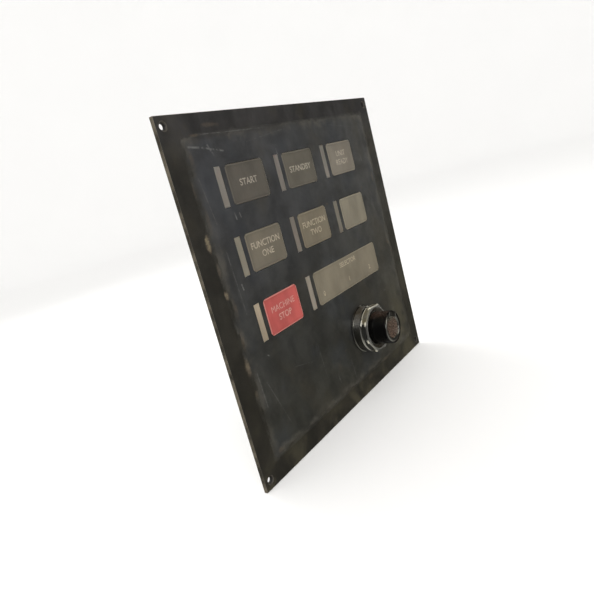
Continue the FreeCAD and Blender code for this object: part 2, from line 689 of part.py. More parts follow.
def make_contact_cover():
    cover = rounded_block(SEL_X, SEL_Z, BLOCK_W, BLOCK_H, BLOCK_R, BLOCK_END, BLOCK_END + COVER_T)
    rim = [e for e in cover.Edges if abs(e.BoundBox.YMin - BLOCK_END - COVER_T) < 1e-6]
    cover = cover.makeChamfer(0.4, rim)
    cuts = [cylinder(x, z, CONTACT_STUD_R + 0.02, BLOCK_END - 1, BLOCK_END + COVER_T + 1)
            for x, z in contact_positions()]
    cuts += [cylinder(x, z, COVER_SCREW_R + 0.05, BLOCK_END - 1, BLOCK_END + COVER_T + 1)
             for x, z in cover_screw_positions()]
    return cover.cut(cuts)


def make_cover_screws():
    screws = []
    end = BLOCK_END + COVER_T
    for x, z in cover_screw_positions():
        head = cylinder(x, z, 2.2, end, end + 1.5)
        top = [e for e in head.Edges if abs(e.BoundBox.YMin - end - 1.5) < 1e-6]
        head = head.makeFillet(0.5, top)
        shank = cylinder(x, z, COVER_SCREW_R, BLOCK_END - 7, end)
        screws.append(fuse([head, shank]).cut(box(x, end + 0.8, z, 5, 2, 0.6)))
    return screws


def make_contact_terminals():
    """Contact stud inside the housing and a push-on blade outside the cover, in one piece each."""
    terminals = []
    wiper_end = ROTOR_HUB_END + WIPER_T
    outside = BLOCK_END + COVER_T
    for x, z in contact_positions():
        stud = cylinder(x, z, CONTACT_STUD_R, wiper_end + CONTACT_GAP, outside + 0.6)
        wide_x = abs(z - SEL_Z) > 1
        blade = box(x, outside, z, BLADE_W if wide_x else BLADE_T, BLADE_LENGTH,
                    BLADE_T if wide_x else BLADE_W)
        hole_axis = V(0, 0, 1) if wide_x else V(1, 0, 0)
        hole_base = V(x, outside + BLADE_LENGTH * 0.62, z) - hole_axis * 2
        hole = Part.makeCylinder(0.8, 4, hole_base, hole_axis)
        terminals.append(fuse([stud, blade]).cut(hole))
    return terminals


def make_contact_rotor():
    """Moulded rotor: a notched detent wheel with a hub that carries the wiper."""
    wheel = cylinder(SEL_X, SEL_Z, DETENT_R, ROTOR_START, ROTOR_START + DETENT_T)
    notches = []
    for i in range(DETENT_NOTCHES):
        x, z = polar(DETENT_R + 0.7, 360 * i / DETENT_NOTCHES - 90)
        notches.append(cylinder(x, z, DETENT_NOTCH_R, ROTOR_START - 1, ROTOR_START + DETENT_T + 1))
    hub = cylinder(SEL_X, SEL_Z, ROTOR_HUB_R, ROTOR_START + DETENT_T, ROTOR_HUB_END)
    bore = cylinder(SEL_X, SEL_Z, SHAFT_R + SHAFT_FIT, ROTOR_START - 1, ROTOR_HUB_END + 1)
    flat = Part.makeBox(8, ROTOR_HUB_END, 8, V(SEL_X - 4, ROTOR_START - 1, SEL_Z + SHAFT_FLAT + SHAFT_FIT))
    return fuse([wheel.cut(notches), hub]).cut(bore.cut(flat))


def make_contact_wiper():
    start = ROTOR_HUB_END
    bar = rounded_block(SEL_X, SEL_Z, 2 * WIPER_REACH, WIPER_W, 2.4, start, start + WIPER_T)
    return bar


def make_detent_spring():
    """Leaf spring under the detent wheel, with a bump that faces the wheel's lowest notch."""
    y = ROTOR_START + (DETENT_T - LEAF_W) / 2
    leaf_z = SEL_Z - DETENT_R - LEAF_GAP - LEAF_BUMP_R
    leaf = box(SEL_X, y, leaf_z, LEAF_LENGTH, LEAF_W, LEAF_T)
    bump = cylinder(SEL_X, leaf_z, LEAF_BUMP_R, y, y + LEAF_W)
    foot_floor = SEL_Z - BLOCK_H / 2 + BLOCK_WALL
    bump_limit = box(SEL_X, y, leaf_z + LEAF_BUMP_R, LEAF_LENGTH, LEAF_W, 2 * LEAF_BUMP_R)
    foot_x = (LEAF_LENGTH - LEAF_FOOT) / 2
    feet = [box(SEL_X + side * foot_x, y, (leaf_z + foot_floor) / 2, LEAF_FOOT, LEAF_W, leaf_z - foot_floor)
            for side in (-1, 1)]
    return fuse([leaf, bump.common(bump_limit)] + feet)


def build():
    os.makedirs("parts", exist_ok=True)
    save("panel_plate", make_panel_plate())
    save("graphic_overlay", make_graphic_overlay())
    save("membrane_spacer", make_membrane_spacer())
    for name, (x, z) in KEYS.items():
        save("key_cap_" + name, make_key_cap(x, z))
        save("key_plunger_" + name, make_key_plunger(x, z))
        save("key_switch_" + name, make_key_switch(x, z))
    for name, (x, z) in LENSES.items():
        save("status_lens_" + name, make_status_lens(x, z))
    save("key_snap_domes", make_snap_domes())
    save("status_light_bars", make_light_bars())
    save("selector_legend_window", make_strip_window())
    save("selector_legend_frame", make_strip_frame())
    save("legend_backlight_leds", make_backlight_leds())
    save("circuit_board", make_circuit_board())
    save("board_standoffs", make_standoffs())
    save("board_screws", make_board_screws())
    save("header_housing", make_header_housing())
    save("header_pins", make_header_pins())
    save("selector_gasket", make_gasket())
    save("selector_base_sleeve", make_base_sleeve())
    save("selector_ring_nut", make_ring_nut())
    save("selector_bushing", make_bushing())
    save("knob_barrel", make_knob_barrel())
    save("knob_face_ring", make_face_ring())
    save("knob_cap_disc", make_cap_disc())
    save("knob_set_screw", make_set_screw())
    save("selector_shaft", make_shaft())
    save("shaft_retaining_clip", make_retaining_clip())
    save("contact_housing", make_contact_housing())
    save("contact_cover", make_contact_cover())
    save("contact_cover_screws", make_cover_screws())
    save("contact_terminals", make_contact_terminals())
    save("contact_rotor", make_contact_rotor())
    save("contact_wiper", make_contact_wiper())
    save("detent_spring", make_detent_spring())


build()
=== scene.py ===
import math
import random

import bmesh
import bpy
from mathutils import Matrix, Vector


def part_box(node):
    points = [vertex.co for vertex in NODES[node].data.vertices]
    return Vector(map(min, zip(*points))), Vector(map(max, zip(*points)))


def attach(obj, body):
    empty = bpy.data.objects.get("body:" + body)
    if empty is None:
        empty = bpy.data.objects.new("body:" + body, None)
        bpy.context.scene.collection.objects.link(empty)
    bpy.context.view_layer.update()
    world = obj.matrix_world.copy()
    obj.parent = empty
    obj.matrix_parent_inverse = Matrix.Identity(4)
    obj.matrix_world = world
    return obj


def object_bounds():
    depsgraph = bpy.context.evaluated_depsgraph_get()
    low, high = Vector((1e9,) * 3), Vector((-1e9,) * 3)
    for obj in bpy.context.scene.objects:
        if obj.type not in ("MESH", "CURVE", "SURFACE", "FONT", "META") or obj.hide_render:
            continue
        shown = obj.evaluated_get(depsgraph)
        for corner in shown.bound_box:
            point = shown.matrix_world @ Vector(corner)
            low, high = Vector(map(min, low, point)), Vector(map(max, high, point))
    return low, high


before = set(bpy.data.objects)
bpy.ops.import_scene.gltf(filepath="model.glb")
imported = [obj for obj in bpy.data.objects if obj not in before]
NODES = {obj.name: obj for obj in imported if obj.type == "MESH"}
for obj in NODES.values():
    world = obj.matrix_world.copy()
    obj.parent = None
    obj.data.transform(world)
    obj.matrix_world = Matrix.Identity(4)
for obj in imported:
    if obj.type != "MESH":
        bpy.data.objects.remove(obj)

# Flat operator control panel: camera and studio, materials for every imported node, and the pieces that only
# the looks need: lettering on the keys, and the small parts and solder on the board behind the plate.
# Everything is in metres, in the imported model's own frame: +X right, +Z up, the front facing -Y.

CAD_LOW, CAD_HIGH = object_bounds()
MM = 0.001

KEY_NAMES = ("top_left", "top_middle", "top_right", "middle_left", "centre", "middle_right", "stop")


def middle(node):
    low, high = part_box(node)
    return (low + high) / 2


def front_of(node):
    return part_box(node)[0].y


# ---------------------------------------------------------------- camera and studio
CAMERA_PLACE = Vector((-380.3, -267.15, 75.33)) * MM
CAMERA_RIGHT = Vector((0.55842, -0.78899, -0.25626))
CAMERA_UP = Vector((0.32057, -0.07968, 0.94387))
CAMERA_BACK = Vector((-0.76512, -0.60922, 0.20843))
CAMERA_LENS = 32.63
CAMERA_SHIFT_Y = -0.00587


def make_camera():
    data = bpy.data.cameras.new("camera")
    data.lens = CAMERA_LENS
    data.sensor_width = 36.0
    data.shift_y = CAMERA_SHIFT_Y
    data.clip_start = 0.01
    camera = bpy.data.objects.new("camera", data)
    turn = Matrix((CAMERA_RIGHT, CAMERA_UP, CAMERA_BACK)).transposed()
    camera.matrix_world = Matrix.Translation(CAMERA_PLACE) @ turn.to_4x4()
    bpy.context.scene.collection.objects.link(camera)
    bpy.context.scene.camera = camera


def add_light(name, place, size, power, colour=(1, 1, 1), mirrored=True):
    """Round soft light, in metres and watts, that is aimed at the panel's middle."""
    data = bpy.data.lights.new(name, "AREA")
    data.shape = "DISK"
    data.size = size
    data.energy = power
    data.color = colour
    light = bpy.data.objects.new(name, data)
    light.location = place
    light.rotation_euler = (-Vector(place)).to_track_quat("-Z", "Y").to_euler()
    light.visible_glossy = mirrored
    bpy.context.scene.collection.objects.link(light)


# The dim room that shiny parts mirror, and its bright places. A place has the direction it lies in, the cosines
# of the angles from there where it starts and where it is full, its colour and its strength. The wide places are
# the room's rear, front and floor, and the small ones are the lamps behind the selector's bright lines and spots.
ROOM_COLOUR, ROOM_STRENGTH = (1.0, 0.97, 0.88), 0.06
ROOM_GLOWS = (
    ((0.0, 1.0, 0.2), 0.0, 0.7, (1.0, 0.99, 0.97), 0.35),
    ((-0.3, -0.93, -0.1), 0.35, 0.92, (1.0, 0.99, 0.95), 0.12),
    ((0.1, -0.4, -0.9), 0.5, 0.95, (1.0, 0.98, 0.9), 0.35),
    ((0.15, -0.87, 0.47), 0.93, 0.985, (1.0, 0.93, 0.72), 0.45),
    ((-0.57, -0.77, 0.24), 0.99, 0.999, (1.0, 1.0, 0.97), 0.5),
    ((-0.12, -0.98, 0.08), 0.985, 0.997, (1.0, 1.0, 0.97), 1.6),
    ((0.47, -0.88, 0.02), 0.988, 0.998, (1.0, 0.98, 0.95), 2.0),
    ((0.84, -0.13, 0.52), 0.986, 0.997, (1.0, 0.96, 0.86), 1.9),
)
SEEN_COLOUR, SEEN_STRENGTH = (1.0, 1.0, 1.0), 1.0
SOFT_COLOUR, SOFT_STRENGTH = (1.0, 0.99, 0.97), 0.95


def make_world():
    """White to the camera, even and soft to dull surfaces, and a dim room with bright places to shiny ones."""
    world = bpy.data.worlds.new("studio")
    bpy.context.scene.world = world
    world.use_nodes = True
    tree = world.node_tree
    tree.nodes.clear()
    out = tree.nodes.new("ShaderNodeOutputWorld")
    path = tree.nodes.new("ShaderNodeLightPath")
    way = tree.nodes.new("ShaderNodeTexCoord").outputs["Generated"]

    def ground(colour, strength):
        made = tree.nodes.new("ShaderNodeBackground")
        made.inputs["Color"].default_value = (*colour, 1)
        made.inputs["Strength"].default_value = strength
        return made

    def glow(toward, start, end, colour, strength, under):
        """A soft bright place in the room, laid over the shader under it."""
        facing = tree.nodes.new("ShaderNodeVectorMath")
        facing.operation = "DOT_PRODUCT"
        tree.links.new(way, facing.inputs[0])
        facing.inputs[1].default_value = Vector(toward).normalized()
        fade = tree.nodes.new("ShaderNodeMapRange")
        fade.interpolation_type = "SMOOTHSTEP"
        tree.links.new(facing.outputs["Value"], fade.inputs["Value"])
        fade.inputs["From Min"].default_value = start
        fade.inputs["From Max"].default_value = end
        mix = tree.nodes.new("ShaderNodeMixShader")
        tree.links.new(fade.outputs["Result"], mix.inputs["Fac"])
        tree.links.new(under, mix.inputs[1])
        tree.links.new(ground(colour, strength).outputs[0], mix.inputs[2])
        return mix.outputs[0]

    seen = ground(SEEN_COLOUR, SEEN_STRENGTH).outputs[0]
    lit = ground(SOFT_COLOUR, SOFT_STRENGTH).outputs[0]
    room = ground(ROOM_COLOUR, ROOM_STRENGTH).outputs[0]
    for toward, start, end, colour, strength in ROOM_GLOWS:
        room = glow(toward, start, end, colour, strength, room)
    first_bounce = tree.nodes.new("ShaderNodeMath")
    first_bounce.operation = "LESS_THAN"
    tree.links.new(path.outputs["Diffuse Depth"], first_bounce.inputs[0])
    first_bounce.inputs[1].default_value = 0.5
    mirrored = tree.nodes.new("ShaderNodeMath")
    mirrored.operation = "MULTIPLY"
    tree.links.new(path.outputs["Is Glossy Ray"], mirrored.inputs[0])
    tree.links.new(first_bounce.outputs[0], mirrored.inputs[1])
    for share, below in ((mirrored.outputs[0], room), (path.outputs["Is Camera Ray"], seen)):
        mix = tree.nodes.new("ShaderNodeMixShader")
        tree.links.new(share, mix.inputs["Fac"])
        tree.links.new(lit, mix.inputs[1])
        tree.links.new(below, mix.inputs[2])
        lit = mix.outputs[0]
    tree.links.new(lit, out.inputs["Surface"])


FLOOR_FLAT_RADIUS, FLOOR_SWEEP, FLOOR_WALL_HEIGHT = 3.2, 1.2, 2.6
FLOOR_GAP = 0.2 * MM
FLOOR_SIDES, SWEEP_STEPS = 64, 10


def make_floor():
    """Round pale floor with a swept-up rim, so that no horizon shows from any side."""
    profile = [(FLOOR_FLAT_RADIUS / 2, 0.0), (FLOOR_FLAT_RADIUS, 0.0)]
    for i in range(1, SWEEP_STEPS + 1):
        turn = math.pi / 2 * i / SWEEP_STEPS
        profile.append((FLOOR_FLAT_RADIUS + FLOOR_SWEEP * math.sin(turn), FLOOR_SWEEP * (1 - math.cos(turn))))
    profile.append((FLOOR_FLAT_RADIUS + FLOOR_SWEEP, FLOOR_WALL_HEIGHT))
    mesh = bpy.data.meshes.new("floor")
    form = bmesh.new()
    base = CAD_LOW.z - FLOOR_GAP
    rings = []
    for radius, height in profile:
        angles = [2 * math.pi * k / FLOOR_SIDES for k in range(FLOOR_SIDES)]
        rings.append([form.verts.new((radius * math.cos(a), radius * math.sin(a), base + height)) for a in angles])
    form.faces.new(rings[0])
    for low, high in zip(rings, rings[1:]):
        for k in range(FLOOR_SIDES):
            after = (k + 1) % FLOOR_SIDES
            form.faces.new((low[k], high[k], high[after], low[after]))
    for face in form.faces:
        face.smooth = True
    form.to_mesh(mesh)
    form.free()
    floor = bpy.data.objects.new("floor", mesh)
    bpy.context.scene.collection.objects.link(floor)
    floor.data.materials.append(floor_paint())
    floor.visible_glossy = False


# ---------------------------------------------------------------- material helper
def times(colour, factor):
    return tuple(c * factor for c in colour)


class Paint:
    """A node material with short calls for the nodes that it is made from."""

    def __init__(self, name):
        self.material = bpy.data.materials.new(name)
        self.material.use_nodes = True
        self.tree = self.material.node_tree
        self.tree.nodes.clear()
        self.out = self.node("ShaderNodeOutputMaterial")
        self.shader = self.node("ShaderNodeBsdfPrincipled")
        self.tree.links.new(self.shader.outputs[0], self.out.inputs["Surface"])
        self.place = self.node("ShaderNodeTexCoord").outputs["Object"]

    def node(self, kind, **settings):
        made = self.tree.nodes.new(kind)
        for key, value in settings.items():
            setattr(made, key, value)
        return made

    def put(self, socket, value):
        """Link an output to a socket, or set the socket's own value."""
        if isinstance(value, bpy.types.NodeSocket):
            self.tree.links.new(value, socket)
        elif isinstance(value, (tuple, list)) and len(value) == 3 and len(socket.default_value) == 4:
            socket.default_value = (*value, 1.0)
        else:
            socket.default_value = value

    def set(self, **values):
        """Set the shader's sockets; the names have underscores for spaces."""
        for name, value in values.items():
            self.put(self.shader.inputs[name.replace("_", " ")], value)

    def math(self, operation, first, second=0.0):
        made = self.node("ShaderNodeMath", operation=operation)
        self.put(made.inputs[0], first)
        self.put(made.inputs[1], second)
        return made.outputs[0]

    def add(self, first, second):
        return self.math("ADD", first, second)

    def sub(self, first, second):
        return self.math("SUBTRACT", first, second)

    def mul(self, first, second):
        return self.math("MULTIPLY", first, second)

    def div(self, first, second):
        return self.math("DIVIDE", first, second)

    def most(self, first, second):
        return self.math("MAXIMUM", first, second)

    def least(self, first, second):
        return self.math("MINIMUM", first, second)

    def size(self, value):
        return self.math("ABSOLUTE", value)

    def reach(self, across, along):
        """Distance of a point that is across and along from a place."""
        return self.math("SQRT", self.add(self.mul(across, across), self.mul(along, along)))

    def ramp(self, value, start, end, low=0.0, high=1.0):
        """low up to start, high from end on, smooth between."""
        made = self.node("ShaderNodeMapRange", interpolation_type="SMOOTHSTEP")
        for socket, number in zip(made.inputs[:5], (value, start, end, low, high)):
            self.put(socket, number)
        return made.outputs[0]

    def mix(self, share, first, second):
        made = self.node("ShaderNodeMix", data_type="RGBA")
        self.put(made.inputs[0], share)
        self.put(made.inputs[6], first)
        self.put(made.inputs[7], second)
        return made.outputs[2]

    def stretched(self, scale, turn=(0, 0, 0)):
        made = self.node("ShaderNodeMapping")
        self.put(made.inputs["Vector"], self.place)
        made.inputs["Rotation"].default_value = turn
        made.inputs["Scale"].default_value = scale
        return made.outputs[0]

    def noise(self, scale, detail=4.0, roughness=0.5, vector=None, distortion=0.0):
        made = self.node("ShaderNodeTexNoise")
        self.put(made.inputs["Vector"], self.place if vector is None else vector)
        made.inputs["Scale"].default_value = scale
        made.inputs["Detail"].default_value = detail
        made.inputs["Roughness"].default_value = roughness
        made.inputs["Distortion"].default_value = distortion
        return made.outputs["Fac"]

    def axes(self):
        made = self.node("ShaderNodeSeparateXYZ")
        self.put(made.inputs[0], self.place)
        return made.outputs[0], made.outputs[1], made.outputs[2]

    def scaled(self, colour, factor):
        """A colour times a number."""
        made = self.node("ShaderNodeVectorMath", operation="SCALE")
        self.put(made.inputs[0], colour)
        self.put(made.inputs["Scale"], factor)
        return made.outputs[0]

    def normal(self):
        """The three parts of the direction that a face looks in."""
        made = self.node("ShaderNodeSeparateXYZ")
        self.put(made.inputs[0], self.node("ShaderNodeTexCoord").outputs["Normal"])
        return made.outputs[0], made.outputs[1], made.outputs[2]

    def bump(self, height, strength, distance):
        made = self.node("ShaderNodeBump")
        made.inputs["Strength"].default_value = strength
        made.inputs["Distance"].default_value = distance
        self.put(made.inputs["Height"], height)
        self.put(self.shader.inputs["Normal"], made.outputs[0])

    def brightness(self, colour, low, high, value):
        """A colour that value 0..1 takes from low to high times its brightness."""
        return self.mix(value, times(colour, low), times(colour, high))


def floor_paint():
    p = Paint("floor_pale")
    tone = p.ramp(p.noise(3.0, 3.0), 0.3, 0.7)
    p.set(Base_Color=p.mix(tone, (0.93, 0.93, 0.93), (0.94, 0.94, 0.94)), Roughness=0.9, Emission_Strength=0.07)
    p.shader.inputs["Emission Color"].default_value = (1.0, 1.0, 1.0, 1.0)
    return p.material


# ---------------------------------------------------------------- overlay
FIELD_CENTRE = (0.5 * MM, 1.0 * MM)
FIELD_HALF = (122.5 * MM, 116.0 * MM)

# The print's tones, at the left and then the right, each at the top and then the foot. Each is partly the print's
# colour and partly painted shade, which makes the left darker than the right.
FIELD_TONES = (((0.030, 0.0305, 0.0318), (0.0228, 0.0225, 0.0175)),
               ((0.043, 0.0428, 0.0405), (0.0365, 0.0345, 0.0255)))
MARGIN_TONES = (((0.0175, 0.0158, 0.012), (0.0165, 0.0142, 0.0088)),
                ((0.031, 0.0295, 0.0252), (0.03, 0.0275, 0.0185)))
TOP_MARGIN_TONE = (0.0245, 0.0232, 0.0238)
BLUE_TINT, BROWN_TINT = (0.027, 0.032, 0.041), (0.038, 0.032, 0.02)
OLIVE_DUST, DUST_SPECKS, RUBBED_PRINT = (0.075, 0.066, 0.036), (0.1, 0.1, 0.09), (0.088, 0.082, 0.068)
CHIP_RIM, CHIP_MIDDLE, SCRATCHED = (0.092, 0.07, 0.046), (0.185, 0.155, 0.09), (0.17, 0.17, 0.16)

# Wear on the overlay, in millimetres from the panel's middle. A chip has x, z, half width, half height and
# strength, and a scratch has x and z of both ends, half width and strength.
CHIPS = (
    (-125.6, 48.0, 2.6, 7.0, 1.0), (-123.2, 11.0, 1.8, 4.2, 0.8), (-123.8, -43.0, 2.6, 8.0, 0.6),
    (-122.8, -64.0, 1.6, 4.0, 0.4), (-124.2, 84.0, 1.2, 6.0, 0.3), (-123.6, 28.0, 1.4, 7.0, 0.4),
    (-120.0, 62.0, 2.0, 9.0, 0.3), (-119.0, 0.0, 2.2, 10.0, 0.3), (-121.0, -24.0, 2.0, 9.0, 0.35),
    (-109.0, 118.2, 5.5, 1.2, 0.45), (-92.0, 124.2, 11.0, 2.0, 0.3), (-115.5, -112.0, 5.0, 2.4, 0.4),
    (-119.0, 104.0, 2.6, 6.0, 0.3), (25.0, 46.0, 1.8, 1.3, 0.5), (91.5, 49.5, 1.7, 1.4, 0.45),
    (117.5, 56.0, 2.2, 6.5, 0.4), (118.5, -12.5, 2.6, 2.0, 0.55), (117.0, -9.0, 1.4, 1.2, 0.5),
    (122.3, -20.0, 1.2, 9.0, 0.35), (96.0, -89.0, 7.0, 3.4, 0.35), (-17.0, -91.0, 3.4, 6.0, 0.25),
    (-2.0, -81.5, 3.0, 1.2, 0.3), (62.0, -117.0, 9.0, 2.4, 0.45), (30.0, -121.0, 8.0, 2.6, 0.3),
    (104.0, -104.0, 6.0, 4.0, 0.35), (125.0, 95.0, 1.6, 7.0, 0.3),
)
SCRATCHES = (
    (-120.0, 111.5, -104.5, 109.2, 1.1, 0.45), (-104.5, 109.2, -86.0, 105.3, 0.9, 0.45),
    (-101.0, 111.5, -97.0, 103.0, 1.0, 0.35), (-93.2, 63.0, -92.4, 57.0, 0.8, 0.6),
    (-88.2, 62.0, -87.4, 57.6, 0.7, 0.45), (-106.6, 14.0, -105.8, 8.6, 0.9, 0.65),
    (-101.5, -42.5, -98.8, -44.6, 0.7, 0.5), (-27.0, 101.0, -26.4, 94.0, 0.7, 0.3),
    (99.5, 76.5, 99.8, 72.0, 0.7, 0.45), (103.5, 79.5, 103.9, 73.0, 0.7, 0.45),
    (-22.4, -97.0, -21.2, -104.0, 0.7, 0.4), (87.0, -54.5, 91.5, -55.3, 0.6, 0.35),
    (-110.0, -60.0, -96.0, -101.0, 0.5, 0.2), (-75.0, -64.0, -52.0, -70.0, 0.4, 0.2),
    (8.0, 2.0, 19.0, -7.0, 0.4, 0.2), (58.0, 112.0, 96.0, 107.5, 0.4, 0.2),
    (-118.0, 92.0, -113.0, 58.0, 0.6, 0.22), (-60.0, 109.0, -12.0, 114.0, 0.4, 0.18),
    (-112.0, 40.0, -110.0, -8.0, 0.8, 0.2), (-117.0, -50.0, -116.0, -78.0, 0.8, 0.25),
    (-40.0, -60.0, -38.5, -86.0, 0.5, 0.2), (2.0, -92.0, 3.5, -112.0, 0.6, 0.25),
    (-104.0, 118.4, -40.0, 117.4, 0.5, 0.35),
)


def overlay_print():
    """Worn printed film: dusty grey field, browner margins, a rubbed outline, chips and scratches."""
    p = Paint("overlay_print")
    x, _, z = p.axes()
    low_down = p.ramp(z, 0.095, -0.12)
    to_right = p.ramp(x, -0.06, 0.125)

    def spread(tones):
        (left_top, left_foot), (right_top, right_foot) = tones
        return p.mix(to_right, p.mix(low_down, left_top, left_foot), p.mix(low_down, right_top, right_foot))

    # the print under its dust: darker low, darker on the left as painted shade, greyer to the right, browner on the
    # margins
    patch = p.noise(34.0, 6.0, 0.62, distortion=0.5)
    blot = p.noise(95.0, 4.0, 0.6)
    off_x = p.sub(p.size(p.sub(x, FIELD_CENTRE[0])), FIELD_HALF[0])
    off_z = p.sub(p.size(p.sub(z, FIELD_CENTRE[1])), FIELD_HALF[1])
    off = p.add(p.most(off_x, off_z), p.mul(p.sub(blot, 0.5), 14 * MM))
    margin = p.mix(p.mul(p.ramp(z, 0.1, 0.126), 0.8), spread(MARGIN_TONES), TOP_MARGIN_TONE)
    inside = p.ramp(off, 2.5 * MM, -5.0 * MM)
    colour = p.mix(inside, margin, spread(FIELD_TONES))

    # patches, upright wiping streaks, and a tint that wanders from blue to brown
    wiped = p.noise(90.0, 4.0, 0.6, p.stretched((1.0, 1.0, 0.16), (0, 0.12, 0)))
    shade = p.mul(p.ramp(patch, 0.34, 0.66, 0.78, 1.22), p.ramp(wiped, 0.32, 0.68, 0.91, 1.09))
    colour = p.scaled(colour, p.mul(shade, p.ramp(blot, 0.34, 0.66, 0.92, 1.08)))
    tint = p.noise(17.0, 4.0, 0.6, p.stretched((1.0, 1.0, 0.8), (0, 0.7, 0)))
    colour = p.mix(p.mul(p.ramp(tint, 0.5, 0.64), p.mul(inside, 0.3)), colour, BLUE_TINT)
    colour = p.mix(p.mul(p.ramp(tint, 0.48, 0.36), 0.35), colour, BROWN_TINT)

    # dust: olive along the foot and the lower right, specks all over
    dusty_corner = p.mul(p.ramp(x, 0.05, 0.115), p.ramp(z, -0.03, -0.09))
    dusty_foot = p.ramp(z, -0.108, -0.13)
    dusty = p.mul(p.most(dusty_corner, dusty_foot), p.ramp(patch, 0.44, 0.6))
    colour = p.mix(p.mul(dusty, 0.4), colour, OLIVE_DUST)
    grain = p.noise(1500.0, 2.0, 0.6)
    colour = p.mix(p.mul(p.ramp(grain, 0.52, 0.78), 0.14), colour, DUST_SPECKS)

    # the outline of the raised field is rubbed paler, most of all on its inner side
    paled = p.mul(p.ramp(off, -7.0 * MM, -0.5 * MM), p.ramp(off, 2.0 * MM, 0.0))
    paled = p.mul(paled, p.ramp(p.noise(48.0, 5.0, 0.65), 0.4, 0.66, 0.05, 0.5))
    colour = p.mix(paled, colour, RUBBED_PRINT)

    # chips and scratches
    wobble = p.mul(p.sub(p.noise(240.0, 5.0, 0.7), 0.5), 3.6)
    chips = 0.0
    for chip in CHIPS:
        chips = p.most(chips, chip_mask(p, x, z, wobble, *chip))
    lines = 0.0
    for scratch in SCRATCHES:
        lines = p.most(lines, scratch_mask(p, x, z, *scratch))
    lines = p.mul(lines, p.ramp(p.noise(300.0, 4.0, 0.65), 0.36, 0.6))
    colour = p.mix(p.mul(p.ramp(chips, 0.0, 0.6), 0.75), colour, CHIP_RIM)
    colour = p.mix(p.mul(p.ramp(chips, 0.4, 1.0), 0.75), colour, CHIP_MIDDLE)
    colour = p.mix(lines, colour, SCRATCHED)
    worn = p.most(chips, lines)
    rough = p.add(p.ramp(p.noise(70.0, 5.0, 0.6), 0.3, 0.7, 0.38, 0.56), p.mul(worn, 0.2))
    p.set(Base_Color=colour, Roughness=rough, Specular_IOR_Level=0.38)
    skin = p.sub(p.add(p.mul(grain, 0.35), blot), p.mul(worn, 0.8))
    p.bump(skin, 0.25, 0.2 * MM)
    return p.material


def chip_mask(p, x, z, wobble, chip_x, chip_z, half_width, half_height, strength):
    """strength in the middle of a ragged spot, and 0 off it."""
    across = p.div(p.sub(x, chip_x * MM), half_width * MM)
    up = p.div(p.sub(z, chip_z * MM), half_height * MM)
    off = p.add(p.add(p.mul(across, across), p.mul(up, up)), wobble)
    return p.mul(p.ramp(off, 1.4, -0.5), strength)


def scratch_mask(p, x, z, start_x, start_z, end_x, end_z, half_width, strength):
    """strength on a thin straight line between two points, and 0 off it."""
    length = math.hypot(end_x - start_x, end_z - start_z)
    along_x, along_z = (end_x - start_x) / length, (end_z - start_z) / length
    dx, dz = p.sub(x, start_x * MM), p.sub(z, start_z * MM)
    along = p.add(p.mul(dx, along_x), p.mul(dz, along_z))
    across = p.sub(p.mul(dx, along_z), p.mul(dz, along_x))
    half_length = length * MM / 2
    on_line = p.ramp(p.size(across), half_width * MM, 0.2 * half_width * MM)
    within = p.ramp(p.size(p.sub(along, half_length)), half_length, half_length - 0.6 * MM)
    return p.mul(p.mul(on_line, within), strength)


# ---------------------------------------------------------------- legends and lenses
KEY_FACE_WIDTH = 42.5 * MM
STRIP_LIP = 0.8 * MM


def key_lip():
    """Width of the lip that a key has under the overlay, outside its face."""
    low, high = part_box("key_cap_centre")
    return (high.x - low.x - KEY_FACE_WIDTH) / 2


def legend_paint(name, node, base, rim, lip):
    """Translucent legend film: a paler rim that is a painted highlight, a darker band inside it that is painted
    shade, faint vertical streaks and dark specks.
    """
    p = Paint(name)
    low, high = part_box(node)
    centre = (low + high) / 2
    x, _, z = p.axes()
    from_side = p.sub((high.x - low.x) / 2 - lip, p.size(p.sub(x, centre.x)))
    from_end = p.sub((high.z - low.z) / 2 - lip, p.size(p.sub(z, centre.z)))
    inward = p.least(from_side, from_end)
    tone = p.noise(55.0, 4.0, 0.6, p.stretched((1.0, 1.0, 0.35), (0, 0.35, 0)))
    cloud = p.noise(34.0, 3.0, 0.5)
    colour = p.brightness(base, 0.84, 1.16, p.ramp(tone, 0.3, 0.7))
    colour = p.mix(p.mul(p.ramp(cloud, 0.4, 0.65), 0.3), colour, times(base, 1.22))
    # painted shade in a band a few millimetres inside the edge, then a painted highlight on the rim at the edge
    colour = p.mix(p.mul(p.ramp(inward, 3.2 * MM, 1.4 * MM), 0.35), colour, times(base, 0.72))
    edge = p.mul(p.ramp(inward, 1.15 * MM, 0.55 * MM), 0.75)
    colour = p.mix(edge, colour, rim)
    speck = p.ramp(p.noise(900.0, 2.0, 0.5), 0.62, 0.78)
    colour = p.mix(p.mul(speck, 0.25), colour, times(base, 0.5))
    p.set(Base_Color=colour, Roughness=p.ramp(p.noise(80.0, 4.0), 0.3, 0.7, 0.38, 0.52), Specular_IOR_Level=0.35,
          Subsurface_Weight=0.12, Subsurface_Scale=1.2 * MM)
    p.shader.inputs["Subsurface Radius"].default_value = (1.0, 0.6, 0.4)
    p.bump(p.add(p.noise(260.0, 3.0), p.mul(edge, 0.6)), 0.12, 0.2 * MM)
    return p.material


def lens_paint(name, base):
    """Milky diffuser with faint upright streaks and dark specks."""
    p = Paint(name)
    tone = p.noise(120.0, 4.0, 0.6, p.stretched((1.0, 1.0, 0.25)))
    colour = p.brightness(base, 0.86, 1.12, p.ramp(tone, 0.3, 0.7))
    speck = p.ramp(p.noise(700.0, 2.0), 0.6, 0.8)
    colour = p.mix(p.mul(speck, 0.3), colour, times(base, 0.5))
    p.set(Base_Color=colour, Roughness=p.ramp(tone, 0.3, 0.7, 0.4, 0.55), Subsurface_Weight=0.15,
          Subsurface_Scale=1.0 * MM)
    p.bump(p.noise(300.0, 3.0), 0.1, 0.2 * MM)
    return p.material


